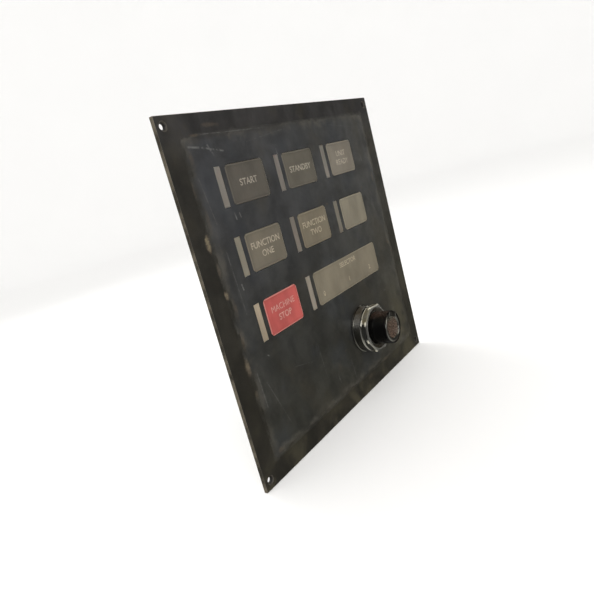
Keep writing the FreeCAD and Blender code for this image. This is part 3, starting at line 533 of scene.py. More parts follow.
# ---------------------------------------------------------------- metals
HOLE_X, HOLE_Z = 133.5 * MM, 126.3 * MM
EDGE_DIRT = (0.03, 0.024, 0.014), (0.125, 0.105, 0.073)
# SUNK_SHADE is painted shade deep in the countersinks and holes; the lip and specks are dirt.
SUNK_SHADE, SUNK_LIP, SUNK_SPECKS = (0.008, 0.007, 0.006), (0.07, 0.062, 0.052), (0.045, 0.036, 0.024)


def plate_aluminium():
    """Mill-finish sheet with oxide blooms; its cut edges and countersinks are brown with old dirt, and the middle
    of each countersink and its hole is near-black painted shade.
    """
    p = Paint("plate_aluminium")
    x, y, z = p.axes()
    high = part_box("panel_plate")[1]
    rolled = p.noise(900.0, 4.0, 0.6, p.stretched((0.02, 1.0, 1.0)))
    bloom = p.noise(22.0, 5.0, 0.6)
    dirt = p.noise(60.0, 5.0, 0.65, p.stretched((1.0, 1.0, 0.6)))
    colour = p.mix(p.ramp(bloom, 0.35, 0.7), (0.5, 0.485, 0.44), (0.62, 0.605, 0.56))
    colour = p.mix(p.mul(p.ramp(dirt, 0.45, 0.72), 0.38), colour, (0.2, 0.185, 0.14))

    from_edge = p.least(p.sub(high.x, p.size(x)), p.sub(high.z, p.size(z)))
    ahead = p.ramp(y, high.y - 0.35 * MM, high.y - 0.1 * MM, 1.0, 0.35)
    rim = p.mul(p.ramp(from_edge, 0.5 * MM, 0.15 * MM), ahead)
    edge_tone = p.noise(75.0, 5.0, 0.65, p.stretched((1.0, 0.3, 1.0)))
    edge = p.mix(p.ramp(edge_tone, 0.36, 0.66), *EDGE_DIRT)
    from_hole = p.reach(p.sub(p.size(x), HOLE_X), p.sub(p.size(z), HOLE_Z))
    sunk = p.mul(p.ramp(from_hole, 3.9 * MM, 3.6 * MM), ahead)
    # painted shade: near-black in the middle of the countersink and in the hole, dirty lip outside it
    sunk_tone = p.mix(p.ramp(from_hole, 2.2 * MM, 3.2 * MM), SUNK_SHADE, SUNK_LIP)
    sunk_tone = p.mix(p.ramp(p.noise(900.0, 4.0, 0.6), 0.5, 0.7), sunk_tone, SUNK_SPECKS)
    soiled = p.most(rim, sunk)
    colour = p.mix(soiled, colour, p.mix(sunk, edge, sunk_tone))
    p.set(Base_Color=colour, Metallic=p.mul(p.sub(1.0, soiled), 0.85),
          Roughness=p.add(p.ramp(rolled, 0.3, 0.7, 0.34, 0.5), p.mul(soiled, 0.2)))
    p.bump(p.add(rolled, p.mul(bloom, 0.4)), 0.12, 0.1 * MM)
    return p.material


CHROME_TONES = (0.5, 0.49, 0.45), (0.62, 0.615, 0.58)
# The nut's front tone is a painted reflection and its hollow tone is painted shade.
PIT_TONE, NUT_FRONT_REFLECTION, NUT_HOLLOW_SHADE = (0.18, 0.15, 0.1), (0.045, 0.048, 0.036), (0.058, 0.049, 0.036)
# Pale tone on the nut's corners and rear rim, a painted highlight.
NUT_HIGHLIGHT_PAINT = (0.9, 0.86, 0.7)
NUT_REAR_RADIUS = 20.1 * MM
NUT_FRONT_REFLECTION_SHARE = 0.6


def chrome_plate(name, settled_tone, side_shine, edge_shine, upper_edge_shine, node=None):
    """Chrome with tarnish and pits, with dust on its upper faces.

    The shines are painted highlight and shade: they dim or brighten the sides, the bevels and the bevels that look
    up.
    The sleeve's foot is dimmer, as painted shade. The nut has a painted reflection on its dull front, painted shade
    in its hollow, and painted highlights on its corners and rear rim.
    """
    p = Paint(name)
    film = p.noise(140.0, 5.0, 0.6)
    tarnish = p.noise(48.0, 4.0, 0.55)
    colour = p.mix(p.ramp(tarnish, 0.35, 0.7), *CHROME_TONES)
    pits = p.ramp(p.noise(1800.0, 2.0), 0.68, 0.8)
    colour = p.mix(p.mul(pits, 0.4), colour, PIT_TONE)
    normal = p.normal()
    edges = p.ramp(normal[2], 0.1, 0.35, edge_shine, upper_edge_shine)
    # painted shade: the sleeve's bevels are dimmer near its foot
    if node == "selector_base_sleeve":
        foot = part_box(node)[1].y
        edges = p.mul(edges, p.ramp(p.axes()[1], foot - 1.6 * MM, foot - 1.2 * MM, 1.0, 0.4))
    # painted highlight and shade: the colour is scaled by which way each face looks
    colour = p.scaled(colour, p.ramp(p.size(normal[1]), 0.4, 0.6, side_shine, edges))
    upper = p.mul(p.ramp(normal[2], 0.25, 0.85), p.ramp(p.size(normal[1]), 0.5, 0.2))
    dull = p.mul(upper, p.ramp(film, 0.3, 0.6, 0.5, 0.95))
    colour = p.mix(dull, colour, settled_tone)
    if node == "selector_ring_nut":
        # painted reflection: the nut's front is dulled and tinted greenish grey
        front = p.mul(p.ramp(normal[1], -0.93, -0.99), NUT_FRONT_REFLECTION_SHARE)
        colour = p.mix(front, colour, NUT_FRONT_REFLECTION)
        hollow, rear_rim, corner = nut_regions(p, normal)
        # painted shade: the nut's hollow is dark brown and dull
        colour = p.mix(hollow, colour, NUT_HOLLOW_SHADE)
        # painted highlight: the nut's corners and the upper part of its rear rim are pale and dull
        paled = p.most(p.mul(rear_rim, upper), corner)
        colour = p.mix(p.mul(paled, 0.9), colour, NUT_HIGHLIGHT_PAINT)
        dull = p.most(p.most(dull, front), p.most(hollow, p.mul(paled, 0.7)))
    p.set(Base_Color=colour, Metallic=p.sub(1.0, p.mul(dull, 0.85)),
          Roughness=p.add(p.ramp(film, 0.35, 0.7, 0.07, 0.17), p.mul(dull, 0.2)))
    p.bump(p.add(film, p.mul(pits, -0.4)), 0.04, 0.1 * MM)
    return p.material


def nut_regions(p, normal):
    """The nut's hollow, whose faces look at its axis, the rear rim of its sides, and its corners."""
    x, y, z = p.axes()
    centre = middle("selector_ring_nut")
    toward_x, toward_z = p.sub(centre.x, x), p.sub(centre.z, z)
    hollow = p.ramp(p.add(p.mul(normal[0], toward_x), p.mul(normal[2], toward_z)), 1.0 * MM, 3.0 * MM)
    from_axis = p.reach(toward_x, toward_z)
    cone_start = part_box("selector_ring_nut")[1].y + NUT_REAR_RADIUS
    rear_rim = p.ramp(p.add(y, from_axis), cone_start - 0.8 * MM, cone_start - 0.4 * MM)
    off_middle = p.ramp(p.size(p.sub(y, centre.y)), 1.0 * MM, 1.7 * MM)
    corner = p.mul(p.ramp(from_axis, 21.2 * MM, 21.7 * MM), off_middle)
    return hollow, rear_rim, corner


def satin_metal(name, dark, light, rough=(0.28, 0.45), lines=(1.0, 1.0, 1.0), scale=400.0):
    """Plain metal with a fine grain and a thin dark film; lines stretches the grain."""
    p = Paint(name)
    grain = p.noise(scale, 4.0, 0.6, p.stretched(lines))
    film = p.noise(90.0, 4.0)
    colour = p.mix(p.ramp(grain, 0.3, 0.7), dark, light)
    colour = p.mix(p.mul(p.ramp(film, 0.5, 0.75), 0.35), colour, times(dark, 0.5))
    p.set(Base_Color=colour, Metallic=1.0, Roughness=p.ramp(grain, 0.3, 0.7, *rough))
    p.bump(grain, 0.1, 0.1 * MM)
    return p.material


TURNING_PITCH = 0.35 * MM


def cap_bronze():
    """Tarnished disc with turned rings and a speckled brown film, and a painted greenish-grey reflection across its
    upper part.
    """
    p = Paint("cap_bronze")
    centre = middle("knob_cap_disc")
    x, _, z = p.axes()
    above = p.sub(z, centre.z)
    turned = p.math("SINE", p.mul(p.reach(p.sub(x, centre.x), above), 2 * math.pi / TURNING_PITCH))
    film = p.noise(760.0, 5.0, 0.65)
    colour = p.mix(p.ramp(film, 0.36, 0.66), (0.052, 0.033, 0.023), (0.132, 0.09, 0.064))
    # painted reflection: the upper part of the dished disc is darker and greenish grey
    colour = p.mix(p.mul(p.ramp(above, 4.5 * MM, 8.5 * MM), 0.7), colour, (0.05, 0.052, 0.036))
    p.set(Base_Color=colour, Metallic=0.3, Roughness=p.ramp(film, 0.3, 0.7, 0.2, 0.34), Specular_IOR_Level=0.8)
    p.bump(p.add(turned, p.mul(film, 2.0)), 0.1, 0.05 * MM)
    return p.material


# ---------------------------------------------------------------- plastics, rubber and board
def moulded(name, base, rough=(0.4, 0.55), depth=0.2, vary=0.12, **more):
    """Plain plastic or rubber with a fine grain of some depth, and a little dust."""
    p = Paint(name)
    grain = p.noise(1400.0, 3.0, 0.6)
    cloud = p.noise(60.0, 4.0)
    colour = p.brightness(base, 1 - vary, 1 + vary, p.ramp(cloud, 0.3, 0.7))
    dust = p.mul(p.ramp(p.noise(180.0, 4.0), 0.55, 0.8), 0.18)
    colour = p.mix(dust, colour, (0.3, 0.28, 0.23))
    p.set(Base_Color=colour, Roughness=p.ramp(cloud, 0.3, 0.7, *rough), **more)
    p.bump(grain, depth, 0.1 * MM)
    return p.material


def knob_black():
    """Polished black moulding with hairline wear."""
    p = Paint("knob_black")
    hair = p.noise(700.0, 4.0, 0.6, p.stretched((1.0, 0.06, 1.0)))
    film = p.noise(90.0, 5.0, 0.6)
    colour = p.mix(p.mul(p.ramp(film, 0.5, 0.75), 0.5), (0.003, 0.003, 0.003), (0.01, 0.009, 0.007))
    colour = p.mix(p.mul(p.ramp(hair, 0.66, 0.8), 0.2), colour, (0.06, 0.055, 0.05))
    settled = p.mul(p.ramp(p.normal()[2], 0.72, 0.99), p.ramp(film, 0.35, 0.6, 0.3, 0.8))
    colour = p.mix(p.mul(settled, 0.4), colour, (0.1, 0.06, 0.045))
    p.set(Base_Color=colour, Roughness=p.ramp(film, 0.3, 0.7, 0.16, 0.28), Specular_IOR_Level=0.25)
    p.bump(hair, 0.04, 0.1 * MM)
    return p.material


PIN_PITCH = 2.54 * MM


def board_laminate():
    """Green solder resist over straight copper tracks, with bare glass laminate at the cut edges."""
    p = Paint("board_laminate")
    x, y, z = p.axes()
    low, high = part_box("circuit_board")
    lane = p.math("PINGPONG", z, PIN_PITCH / 2)
    track = p.ramp(lane, 0.48 * MM, 0.36 * MM)
    cut = p.ramp(p.noise(13.0, 1.0, 0.4, p.stretched((1.0, 1.0, 2.2))), 0.46, 0.49)
    column = p.math("PINGPONG", x, PIN_PITCH)
    riser = p.ramp(column, 0.5 * MM, 0.36 * MM)
    copper = p.most(p.mul(track, cut), p.mul(riser, p.sub(1.0, cut)))
    resist = p.mix(p.ramp(p.noise(40.0, 3.0), 0.3, 0.7), (0.008, 0.075, 0.03), (0.012, 0.095, 0.038))
    colour = p.mix(p.mul(copper, 0.65), resist, (0.035, 0.18, 0.068))
    inner = p.mul(p.ramp(y, low.y + 0.05 * MM, low.y + 0.2 * MM),
                   p.ramp(y, high.y - 0.05 * MM, high.y - 0.2 * MM))
    colour = p.mix(inner, colour, (0.38, 0.36, 0.2))
    p.set(Base_Color=colour, Roughness=p.ramp(p.noise(150.0, 3.0), 0.3, 0.7, 0.22, 0.34), Coat_Weight=0.2)
    p.bump(p.add(copper, p.mul(p.noise(1200.0, 2.0), 0.15)), 0.4, 0.04 * MM)
    return p.material


# Tones of the key legends and the selector's strip, partly their own colour and partly painted shade, so each is
# darker or paler by the light on it. The print takes its tone from these and carries the same painted shade.
LEGEND_TONES = {
    "top_left": (0.071, 0.063, 0.051), "top_middle": (0.086, 0.077, 0.06), "top_right": (0.139, 0.123, 0.0975),
    "middle_left": (0.113, 0.098, 0.0725), "centre": (0.134, 0.114, 0.079), "middle_right": (0.169, 0.151, 0.112),
    "stop": (0.372, 0.07, 0.061),
}
# The stop key's paler rim, a painted highlight.
STOP_RIM_HIGHLIGHT = (0.52, 0.2, 0.17)
STRIP_TONE = (0.159, 0.138, 0.098)
# Tones of the status lenses, partly their own colour and partly painted shade.
LENS_TONES = {
    "top_left": (0.152, 0.136, 0.1165), "top_middle": (0.132, 0.117, 0.1015), "top_right": (0.149, 0.138, 0.118),
    "middle_left": (0.161, 0.144, 0.109), "centre": (0.151, 0.132, 0.108), "middle_right": (0.141, 0.128, 0.1),
    "stop": (0.265, 0.2165, 0.152), "selector": (0.208, 0.181, 0.144),
}
# How much paler than its legend each line of print is.
PRINT_GAIN = {"top_left": 4.2, "top_middle": 3.8, "top_right": 2.5, "middle_left": 3.2, "centre": 2.8, "strip": 2.5}


def assign(material, *nodes):
    for node in nodes:
        slots = NODES[node].data.materials
        slots.clear()
        slots.append(material)


def paint_front():
    for key in KEY_NAMES:
        tone, node = LEGEND_TONES[key], "key_cap_" + key
        # Each legend's paler rim is a painted highlight.
        rim = STOP_RIM_HIGHLIGHT if key == "stop" else times(tone, 1.5)
        assign(legend_paint("legend_" + key, node, tone, rim, key_lip()), node)
    window = "selector_legend_window"
    # The strip's paler rim is a painted highlight too.
    assign(legend_paint("legend_strip", window, STRIP_TONE, times(STRIP_TONE, 1.3), STRIP_LIP), window)
    for name, tone in LENS_TONES.items():
        assign(lens_paint("lens_" + name, tone), "status_lens_" + name)
    assign(overlay_print(), "graphic_overlay")
    assign(plate_aluminium(), "panel_plate")
    for node, name, settled_tone, shines in (
            ("selector_base_sleeve", "chrome_sleeve", (0.054, 0.041, 0.024), (0.75, 1.25, 0.3)),
            ("selector_ring_nut", "chrome_nut", (0.1, 0.077, 0.025), (1.0, 1.0, 1.1)),
            ("knob_face_ring", "chrome_ring", (0.08, 0.07, 0.045), (0.65, 0.65, 0.65))):
        assign(chrome_plate(name, settled_tone, *shines, node), node)
    assign(knob_black(), "knob_barrel")
    assign(cap_bronze(), "knob_cap_disc")


def paint_inside():
    def plastic(nodes, *look, **more):
        assign(moulded(*look, **more), *nodes)

    def metal(nodes, *look, **more):
        assign(satin_metal(*look, **more), *nodes)

    plastic(["membrane_spacer"], "spacer_film", (0.55, 0.54, 0.5), (0.3, 0.4))
    plastic(["key_plunger_" + key for key in KEY_NAMES], "switch_plunger", (0.6, 0.58, 0.52))
    plastic(["key_switch_" + key for key in KEY_NAMES], "switch_body", (0.03, 0.03, 0.032))
    plastic(["status_light_bars", "selector_legend_frame"], "light_bar_case", (0.62, 0.61, 0.57), (0.35, 0.5))
    plastic(["legend_backlight_leds"], "led_package", (0.7, 0.6, 0.25), (0.12, 0.25), Coat_Weight=0.3)
    plastic(["header_housing"], "header_plastic", (0.03, 0.17, 0.06), (0.35, 0.5))
    plastic(["selector_gasket"], "gasket_rubber", (0.014, 0.014, 0.014), (0.65, 0.8))
    plastic(["contact_housing"], "contact_block_plastic", (0.1, 0.1, 0.105), depth=0.5)
    plastic(["contact_cover"], "contact_cover_plastic", (0.045, 0.045, 0.047), depth=0.5)
    plastic(["contact_rotor"], "rotor_plastic", (0.45, 0.07, 0.045))
    metal(["key_snap_domes", "detent_spring", "shaft_retaining_clip"], "spring_steel",
          (0.38, 0.37, 0.34), (0.55, 0.54, 0.5), lines=(0.1, 1, 1))
    metal(["board_standoffs", "board_screws", "selector_shaft", "contact_cover_screws"], "zinc_steel",
          (0.42, 0.41, 0.36), (0.62, 0.6, 0.53), (0.22, 0.4))
    metal(["header_pins", "contact_terminals", "contact_wiper"], "contact_brass",
          (0.5, 0.42, 0.27), (0.68, 0.6, 0.42), (0.24, 0.4))
    metal(["selector_bushing"], "die_cast_zinc", (0.28, 0.28, 0.27), (0.4, 0.4, 0.385), (0.35, 0.55), scale=900.0)
    metal(["knob_set_screw"], "black_steel", (0.03, 0.03, 0.03), (0.07, 0.07, 0.068), (0.35, 0.5))
    assign(board_laminate(), "circuit_board")


# ---------------------------------------------------------------- small parts behind the plate
BOARD_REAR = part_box("circuit_board")[1].y
SMOOTH_BELOW = math.radians(35)


def add_mesh(name, form, materials, body="panel"):
    """A piece from a bmesh, smooth across its shallow edges, that rides on a body."""
    for face in form.faces:
        face.smooth = True
    for edge in form.edges:
        edge.smooth = len(edge.link_faces) == 2 and edge.calc_face_angle() < SMOOTH_BELOW
    mesh = bpy.data.meshes.new(name)
    form.to_mesh(mesh)
    form.free()
    for material in materials:
        mesh.materials.append(material)
    piece = bpy.data.objects.new(name, mesh)
    bpy.context.scene.collection.objects.link(piece)
    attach(piece, body)


def join_rings(form, rings, paints):
    """Faces between rings of points, one paint for each band, and a flat face over each end."""
    for low, high, paint in zip(rings, rings[1:], paints[1:]):
        for k in range(len(low)):
            after = (k + 1) % len(low)
            form.faces.new((low[k], low[after], high[after], high[k])).material_index = paint
    form.faces.new(list(reversed(rings[0]))).material_index = paints[0]
    form.faces.new(rings[-1]).material_index = paints[-1]


def add_turned(form, profile, start, axis, sides=16):
    """Turned shape along an axis from start: its profile is (distance, radius, paint of the band before it)."""
    axis = Vector(axis).normalized()
    side = axis.orthogonal().normalized()
    other = axis.cross(side)
    rings = []
    for along, radius, _ in profile:
        centre = Vector(start) + axis * along * MM
        spokes = [side * math.cos(2 * math.pi * k / sides) + other * math.sin(2 * math.pi * k / sides)
                  for k in range(sides)]
        rings.append([form.verts.new(centre + spoke * radius * MM) for spoke in spokes])
    join_rings(form, rings, [paint for _, _, paint in profile])


def add_block(form, low, high, paint=0):
    """Straight block between two corners."""
    ends = list(zip(low, high))
    corners = [Vector((x, y, z)) for x in ends[0] for y in ends[1] for z in ends[2]]
    v = [form.verts.new(corner) for corner in corners]
    for face in ((0, 1, 3, 2), (4, 6, 7, 5), (0, 4, 5, 1), (2, 3, 7, 6), (0, 2, 6, 4), (1, 5, 7, 3)):
        form.faces.new([v[i] for i in face]).material_index = paint


def add_prism(form, outline, y_low, y_high, shrink=0.0):
    """Outline of (x, z) points drawn out along Y, and drawn in about its middle at the far end."""
    cx = sum(x for x, z in outline) / len(outline)
    cz = sum(z for x, z in outline) / len(outline)
    near = [form.verts.new((x, y_low, z)) for x, z in outline]
    far = [form.verts.new((cx + (x - cx) * (1 - shrink), y_high, cz + (z - cz) * (1 - shrink)))
           for x, z in outline]
    join_rings(form, [near, far], (0, 0))


def add_wire(form, points, radius, sides=8, paint=0):
    """Round wire through a few points, with its bends rounded."""
    route = [Vector(points[0])]
    for before, corner, after in zip(points, points[1:], points[2:]):
        before, corner, after = Vector(before), Vector(corner), Vector(after)
        reach = min(3 * radius, (corner - before).length / 2, (after - corner).length / 2)
        start = corner + (before - corner).normalized() * reach
        end = corner + (after - corner).normalized() * reach
        route += [start.lerp(corner, t).lerp(corner.lerp(end, t), t) for t in (0, 0.33, 0.67, 1)]
    route.append(Vector(points[-1]))
    heading = (route[1] - route[0]).normalized()
    side = heading.orthogonal().normalized()
    rings = []
    for i, place in enumerate(route):
        ahead = route[min(i + 1, len(route) - 1)] - route[max(i - 1, 0)]
        turn = heading.rotation_difference(ahead.normalized())
        heading, side = ahead.normalized(), turn @ side
        other = heading.cross(side)
        rings.append([form.verts.new(place + (side * math.cos(2 * math.pi * k / sides)
                                              + other * math.sin(2 * math.pi * k / sides)) * radius)
                      for k in range(sides)])
    join_rings(form, rings, [paint] * len(rings))


# Profile of one solder joint, from its foot on the board to its lead's tip: (distance, radius, paint).
SOLDER = ((0, 1.35, 0), (0.08, 1.3, 0), (0.2, 1.0, 0), (0.5, 0.68, 0), (0.9, 0.45, 0), (1.25, 0.36, 0),
          (1.5, 0.3, 0), (1.6, 0.12, 0))
STRIP_LAMPS = 6
BAR_LEADS = (-11.4, -3.8, 3.8, 11.4)
# Where the rear-side parts stand on the board, in millimetres.
CHIP_PINS, CHIP_X, CHIP_UP = 16, (-12.0, 20.0, 52.0), 17.0
DISC_OFF_CHIP = (14.5, 8.5)
RESISTORS, RESISTOR_FIRST_X, RESISTOR_STEP, RESISTOR_UP = 8, -97.0, 9.0, 44.0
BAND_SETS = ((1, 2, 3), (3, 3, 1), (1, 2, 1))
CAN_X = -97.0


def lead_places():
    """Where the leads of the front-side parts come through the board, as (x, z) in metres."""
    places = []
    for key in KEY_NAMES:
        switch = middle("key_switch_" + key)
        for dx, dz in ((5.0, 5.0), (13.0, 1.27)):
            places += [(switch.x + a * dx * MM, switch.z + b * dz * MM) for a in (-1, 1) for b in (-1, 1)]
    strip_low, strip_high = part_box("selector_legend_window")
    for i in range(STRIP_LAMPS):
        x = strip_low.x + (strip_high.x - strip_low.x) * (i + 0.5) / STRIP_LAMPS
        places += [(x, middle("selector_legend_window").z + dz * 1.27 * MM) for dz in (-1, 1)]
    for name in LENS_TONES:
        bar = middle("status_lens_" + name)
        places += [(bar.x, bar.z + dz * MM) for dz in BAR_LEADS]
    return places


def make_solder():
    form = bmesh.new()
    chance = random.Random(11)
    for x, z in lead_places():
        tip = (chance.uniform(-0.1, 0.1), 1.0, chance.uniform(-0.1, 0.1))
        add_turned(form, SOLDER, (x, BOARD_REAR, z), tip, 12)
    add_mesh("solder_joints", form, [solder_metal()])


def make_chip(name, x, z):
    """Dual in-line chip with an end notch, a pin-one dimple and bent legs."""
    half_row, half_width, base = 3.81 * MM, 3.2 * MM, BOARD_REAR + 0.6 * MM
    half_length = CHIP_PINS / 4 * PIN_PITCH + 0.2 * MM
    form = bmesh.new()
    notch = [(x - half_length + 0.9 * MM * math.cos(t), z + 0.9 * MM * math.sin(t))
             for t in [math.pi / 2 - math.pi * k / 6 for k in range(7)]]
    outline = notch + [(x - half_length, z - half_width), (x + half_length, z - half_width),
                       (x + half_length, z + half_width), (x - half_length, z + half_width)]
    add_prism(form, outline, base, base + 1.6 * MM)
    add_prism(form, outline, base + 1.6 * MM, base + 3.3 * MM, 0.03)
    add_turned(form, ((0, 0.6, 0), (0.03, 0.55, 0)), (x - half_length + 2.4 * MM, base + 3.3 * MM, z - 1.8 * MM),
               (0, 1, 0))
    for i in range(CHIP_PINS // 2):
        px = x + (i - (CHIP_PINS / 2 - 1) / 2) * PIN_PITCH
        for side in (-1, 1):
            shoulder = sorted((z + side * half_width * 0.98, z + side * (half_row + 0.15 * MM)))
            add_block(form, (px - 0.65 * MM, base + 1.5 * MM, shoulder[0]),
                      (px + 0.65 * MM, base + 1.75 * MM, shoulder[1]), 1)
            foot = sorted((z + side * (half_row - 0.1 * MM), z + side * (half_row + 0.15 * MM)))
            add_block(form, (px - 0.65 * MM, base + 0.4 * MM, foot[0]),
                      (px + 0.65 * MM, base + 1.5 * MM, foot[1]), 1)
            add_block(form, (px - 0.24 * MM, BOARD_REAR - 0.1 * MM, foot[0]),
                      (px + 0.24 * MM, base + 0.4 * MM, foot[1]), 1)
    add_mesh(name, form, [chip_black(), solder_metal()])


def make_resistor(name, x, z, bands):
    """Axial resistor along Z with colour bands, and leads bent down into the board."""
    height, half_lead = BOARD_REAR + 1.5 * MM, 5.08 * MM
    form = bmesh.new()
    first, second, third = bands
    profile = ((0, 0.55, 0), (0.25, 1.0, 0), (0.6, 1.2, 0), (0.9, 1.2, 0), (1.4, 1.2, first), (1.8, 1.1, 0),
               (2.2, 1.0, 0), (2.7, 1.0, second), (3.2, 1.0, 0), (3.7, 1.0, third), (4.6, 1.02, 0),
               (4.9, 1.15, 0), (5.3, 1.2, 4), (5.7, 1.2, 0), (6.05, 1.0, 0), (6.3, 0.55, 0))
    add_turned(form, profile, (x, height, z - 3.15 * MM), (0, 0, 1), 18)
    for side in (-1, 1):
        add_wire(form, [(x, height, z + side * 3.0 * MM), (x, height, z + side * half_lead),
                        (x, BOARD_REAR - 0.2 * MM, z + side * half_lead)], 0.3 * MM, paint=5)
    paints = [resistor_paint("resistor_coat", (0.42, 0.27, 0.13)), resistor_paint("band_brown", (0.1, 0.03, 0.012)),
              resistor_paint("band_black", (0.012, 0.012, 0.012)), resistor_paint("band_red", (0.4, 0.02, 0.015)),
              resistor_paint("band_gold", (0.45, 0.3, 0.08)), solder_metal()]
    add_mesh(name, form, paints)


def make_can_capacitor(x, z):
    """Upright electrolytic capacitor: sleeve with a rolled groove, and a bare top with a pressed cross."""
    form = bmesh.new()
    profile = ((0, 3.7, 0), (0.5, 4.0, 0), (1.3, 4.0, 0), (1.6, 3.72, 0), (2.0, 3.72, 0), (2.3, 4.0, 0),
               (10.9, 4.0, 0), (11.3, 3.85, 0), (11.4, 3.3, 0), (11.25, 3.1, 1), (11.2, 0.4, 1))
    add_turned(form, profile, (x, BOARD_REAR + 0.1 * MM, z), (0, 1, 0), 32)
    for turn in (0.0, math.pi / 2):
        reach = Vector((math.cos(turn), 0, math.sin(turn))) * 2.4 * MM
        place = Vector((x, BOARD_REAR + 11.3 * MM, z))
        add_wire(form, [place - reach, place + reach], 0.09 * MM, 6, 1)
    add_mesh("can_capacitor", form, [can_sleeve(), can_top()])


def make_disc_capacitor(name, x, z):
    """Small ceramic disc on two leads."""
    form = bmesh.new()
    centre_y = BOARD_REAR + 4.2 * MM
    profile = ((0, 0.8, 0), (0.25, 2.0, 0), (0.7, 2.5, 0), (1.1, 2.5, 0), (1.55, 2.0, 0), (1.8, 0.8, 0))
    add_turned(form, profile, (x, centre_y, z - 0.9 * MM), (0, 0, 1), 22)
    for side in (-1, 1):
        foot = x + side * 2.54 * MM
        add_wire(form, [(x + side * 1.4 * MM, centre_y - 1.2 * MM, z), (foot, BOARD_REAR + 1.2 * MM, z),
                        (foot, BOARD_REAR - 0.2 * MM, z)], 0.25 * MM, paint=1)
    add_mesh(name, form, [disc_glaze(), solder_metal()])


def make_board_parts():
    make_solder()
    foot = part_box("circuit_board")[0].z
    chip_z = foot + CHIP_UP * MM
    for i, x in enumerate(CHIP_X):
        make_chip(f"driver_chip_{i + 1}", x * MM, chip_z)
        make_disc_capacitor(f"disc_capacitor_{i + 1}", (x + DISC_OFF_CHIP[0]) * MM, chip_z + DISC_OFF_CHIP[1] * MM)
    chance = random.Random(5)
    for i in range(RESISTORS):
        make_resistor(f"lamp_resistor_{i + 1}", (RESISTOR_FIRST_X + RESISTOR_STEP * i) * MM,
                      foot + RESISTOR_UP * MM, chance.choice(BAND_SETS))
    make_can_capacitor(CAN_X * MM, chip_z)


_made = {}


def kept(build):
    """Runs a material function once, and gives the same material each time it's asked again."""
    def get(*args):
        if (build, args) not in _made:
            _made[(build, args)] = build(*args)
        return _made[(build, args)]
    return get


@kept
def solder_metal():
    return satin_metal("solder_metal", (0.68, 0.68, 0.65), (0.85, 0.85, 0.82), (0.22, 0.4), scale=900.0)


@kept
def chip_black():
    return moulded("chip_black", (0.02, 0.02, 0.021), (0.42, 0.6), depth=0.35)


@kept
def resistor_paint(name, tone):
    return moulded(name, tone, (0.22, 0.34), vary=0.1, Coat_Weight=0.2)


@kept
def can_sleeve():
    return moulded("can_sleeve", (0.015, 0.03, 0.09), (0.25, 0.36), depth=0.1)


@kept
def can_top():
    return satin_metal("can_top", (0.6, 0.6, 0.6), (0.75, 0.75, 0.75), (0.25, 0.4))


@kept
def disc_glaze():
    return moulded("disc_glaze", (0.5, 0.2, 0.03), (0.25, 0.4), Coat_Weight=0.3)


# ---------------------------------------------------------------- lettering
CAP_HEIGHT = 5.0 * MM
LINE_PITCH = 7.6 * MM
LETTER_LIFT = 0.02 * MM
# Letters are thickened a little, apart from words with an M, whose outline would cross itself.
LETTER_BOLDER = 0.06 * MM
FONT_CAP_SHARE = 0.73
LETTERING = {
    "top_left": ("START",), "top_middle": ("STANDBY",), "top_right": ("UNIT", "READY"),
    "middle_left": ("FUNCTION", "ONE"), "centre": ("FUNCTION", "TWO"), "stop": ("MACHINE", "STOP"),
}
STOP_PRINT = (0.52, 0.26, 0.22)
# The widest that a line of print may be, in millimetres.
LINE_WIDTHS, WIDEST_LINE = {"STANDBY": 36.0, "FUNCTION": 37.0, "MACHINE": 37.0}, 38.0
STRIP_CAP_HEIGHT = 4.4 * MM


def letter_paint(name, tone):
    p = Paint(name)
    fade = p.ramp(p.noise(260.0, 4.0, 0.6), 0.3, 0.7)
    p.set(Base_Color=p.mix(fade, times(tone, 0.7), tone), Roughness=p.ramp(fade, 0, 1, 0.5, 0.6))
    return p.material


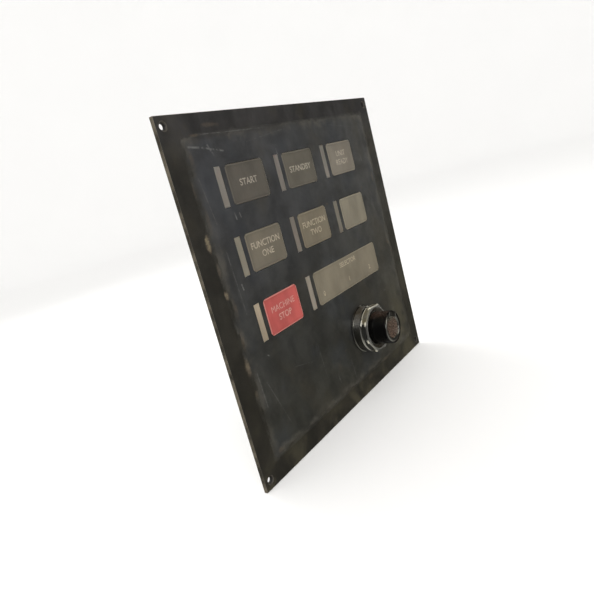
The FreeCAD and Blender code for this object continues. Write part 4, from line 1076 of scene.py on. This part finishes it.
def add_words(name, words, x, y, z, body, material, height=CAP_HEIGHT, widest=None):
    """Flat printed words, facing -Y, centred on x and z just in front of y."""
    curve = bpy.data.curves.new(name, "FONT")
    curve.body = words
    curve.align_x = "CENTER"
    curve.align_y = "CENTER"
    curve.size = height / FONT_CAP_SHARE
    curve.extrude = 0.5 * LETTER_LIFT
    if "M" not in words:
        curve.offset = LETTER_BOLDER
    piece = bpy.data.objects.new(name, curve)
    bpy.context.scene.collection.objects.link(piece)
    piece.rotation_euler = (math.pi / 2, 0, 0)
    piece.location = (x, y - LETTER_LIFT, z)
    bpy.context.view_layer.update()
    if widest and piece.dimensions.x > widest:
        piece.scale.x = widest / piece.dimensions.x
    curve.materials.append(material)
    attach(piece, body)


def make_lettering():
    for key, lines in LETTERING.items():
        node = "key_cap_" + key
        centre = middle(node)
        tone = STOP_PRINT if key == "stop" else times(LEGEND_TONES[key], PRINT_GAIN[key])
        ink = letter_paint("print_" + key, tone)
        for i, words in enumerate(lines):
            z = centre.z + LINE_PITCH * ((len(lines) - 1) / 2 - i)
            widest = LINE_WIDTHS.get(words, WIDEST_LINE) * MM
            add_words(f"letters_{key}_{i + 1}", words, centre.x, front_of(node), z, "key_" + key, ink,
                      widest=widest)
    window = "selector_legend_window"
    centre = middle(window)
    y = front_of(window)
    ink = letter_paint("print_strip", times(STRIP_TONE, PRINT_GAIN["strip"]))
    add_words("letters_selector", "SELECTOR", centre.x + 2 * MM, y, centre.z + 8.6 * MM, "panel", ink,
              STRIP_CAP_HEIGHT)
    for digit, offset in zip("012", (-45.0, -1.5, 38.0)):
        add_words("letters_position_" + digit, digit, centre.x + offset * MM, y, centre.z - 6.4 * MM, "panel",
                  ink, STRIP_CAP_HEIGHT)


make_camera()
make_world()
make_floor()
add_light("key_light", (-0.9, -0.95, 0.9), size=0.8, power=7.0, colour=(1.0, 0.98, 0.95))
add_light("fill_light", (0.9, -1.0, 0.4), size=0.9, power=3.0, mirrored=False)
add_light("rear_light", (0.3, 1.1, 0.9), size=0.8, power=5.0)
paint_front()
paint_inside()
make_board_parts()
make_lettering()
bpy.context.scene.view_settings.view_transform = "Standard"
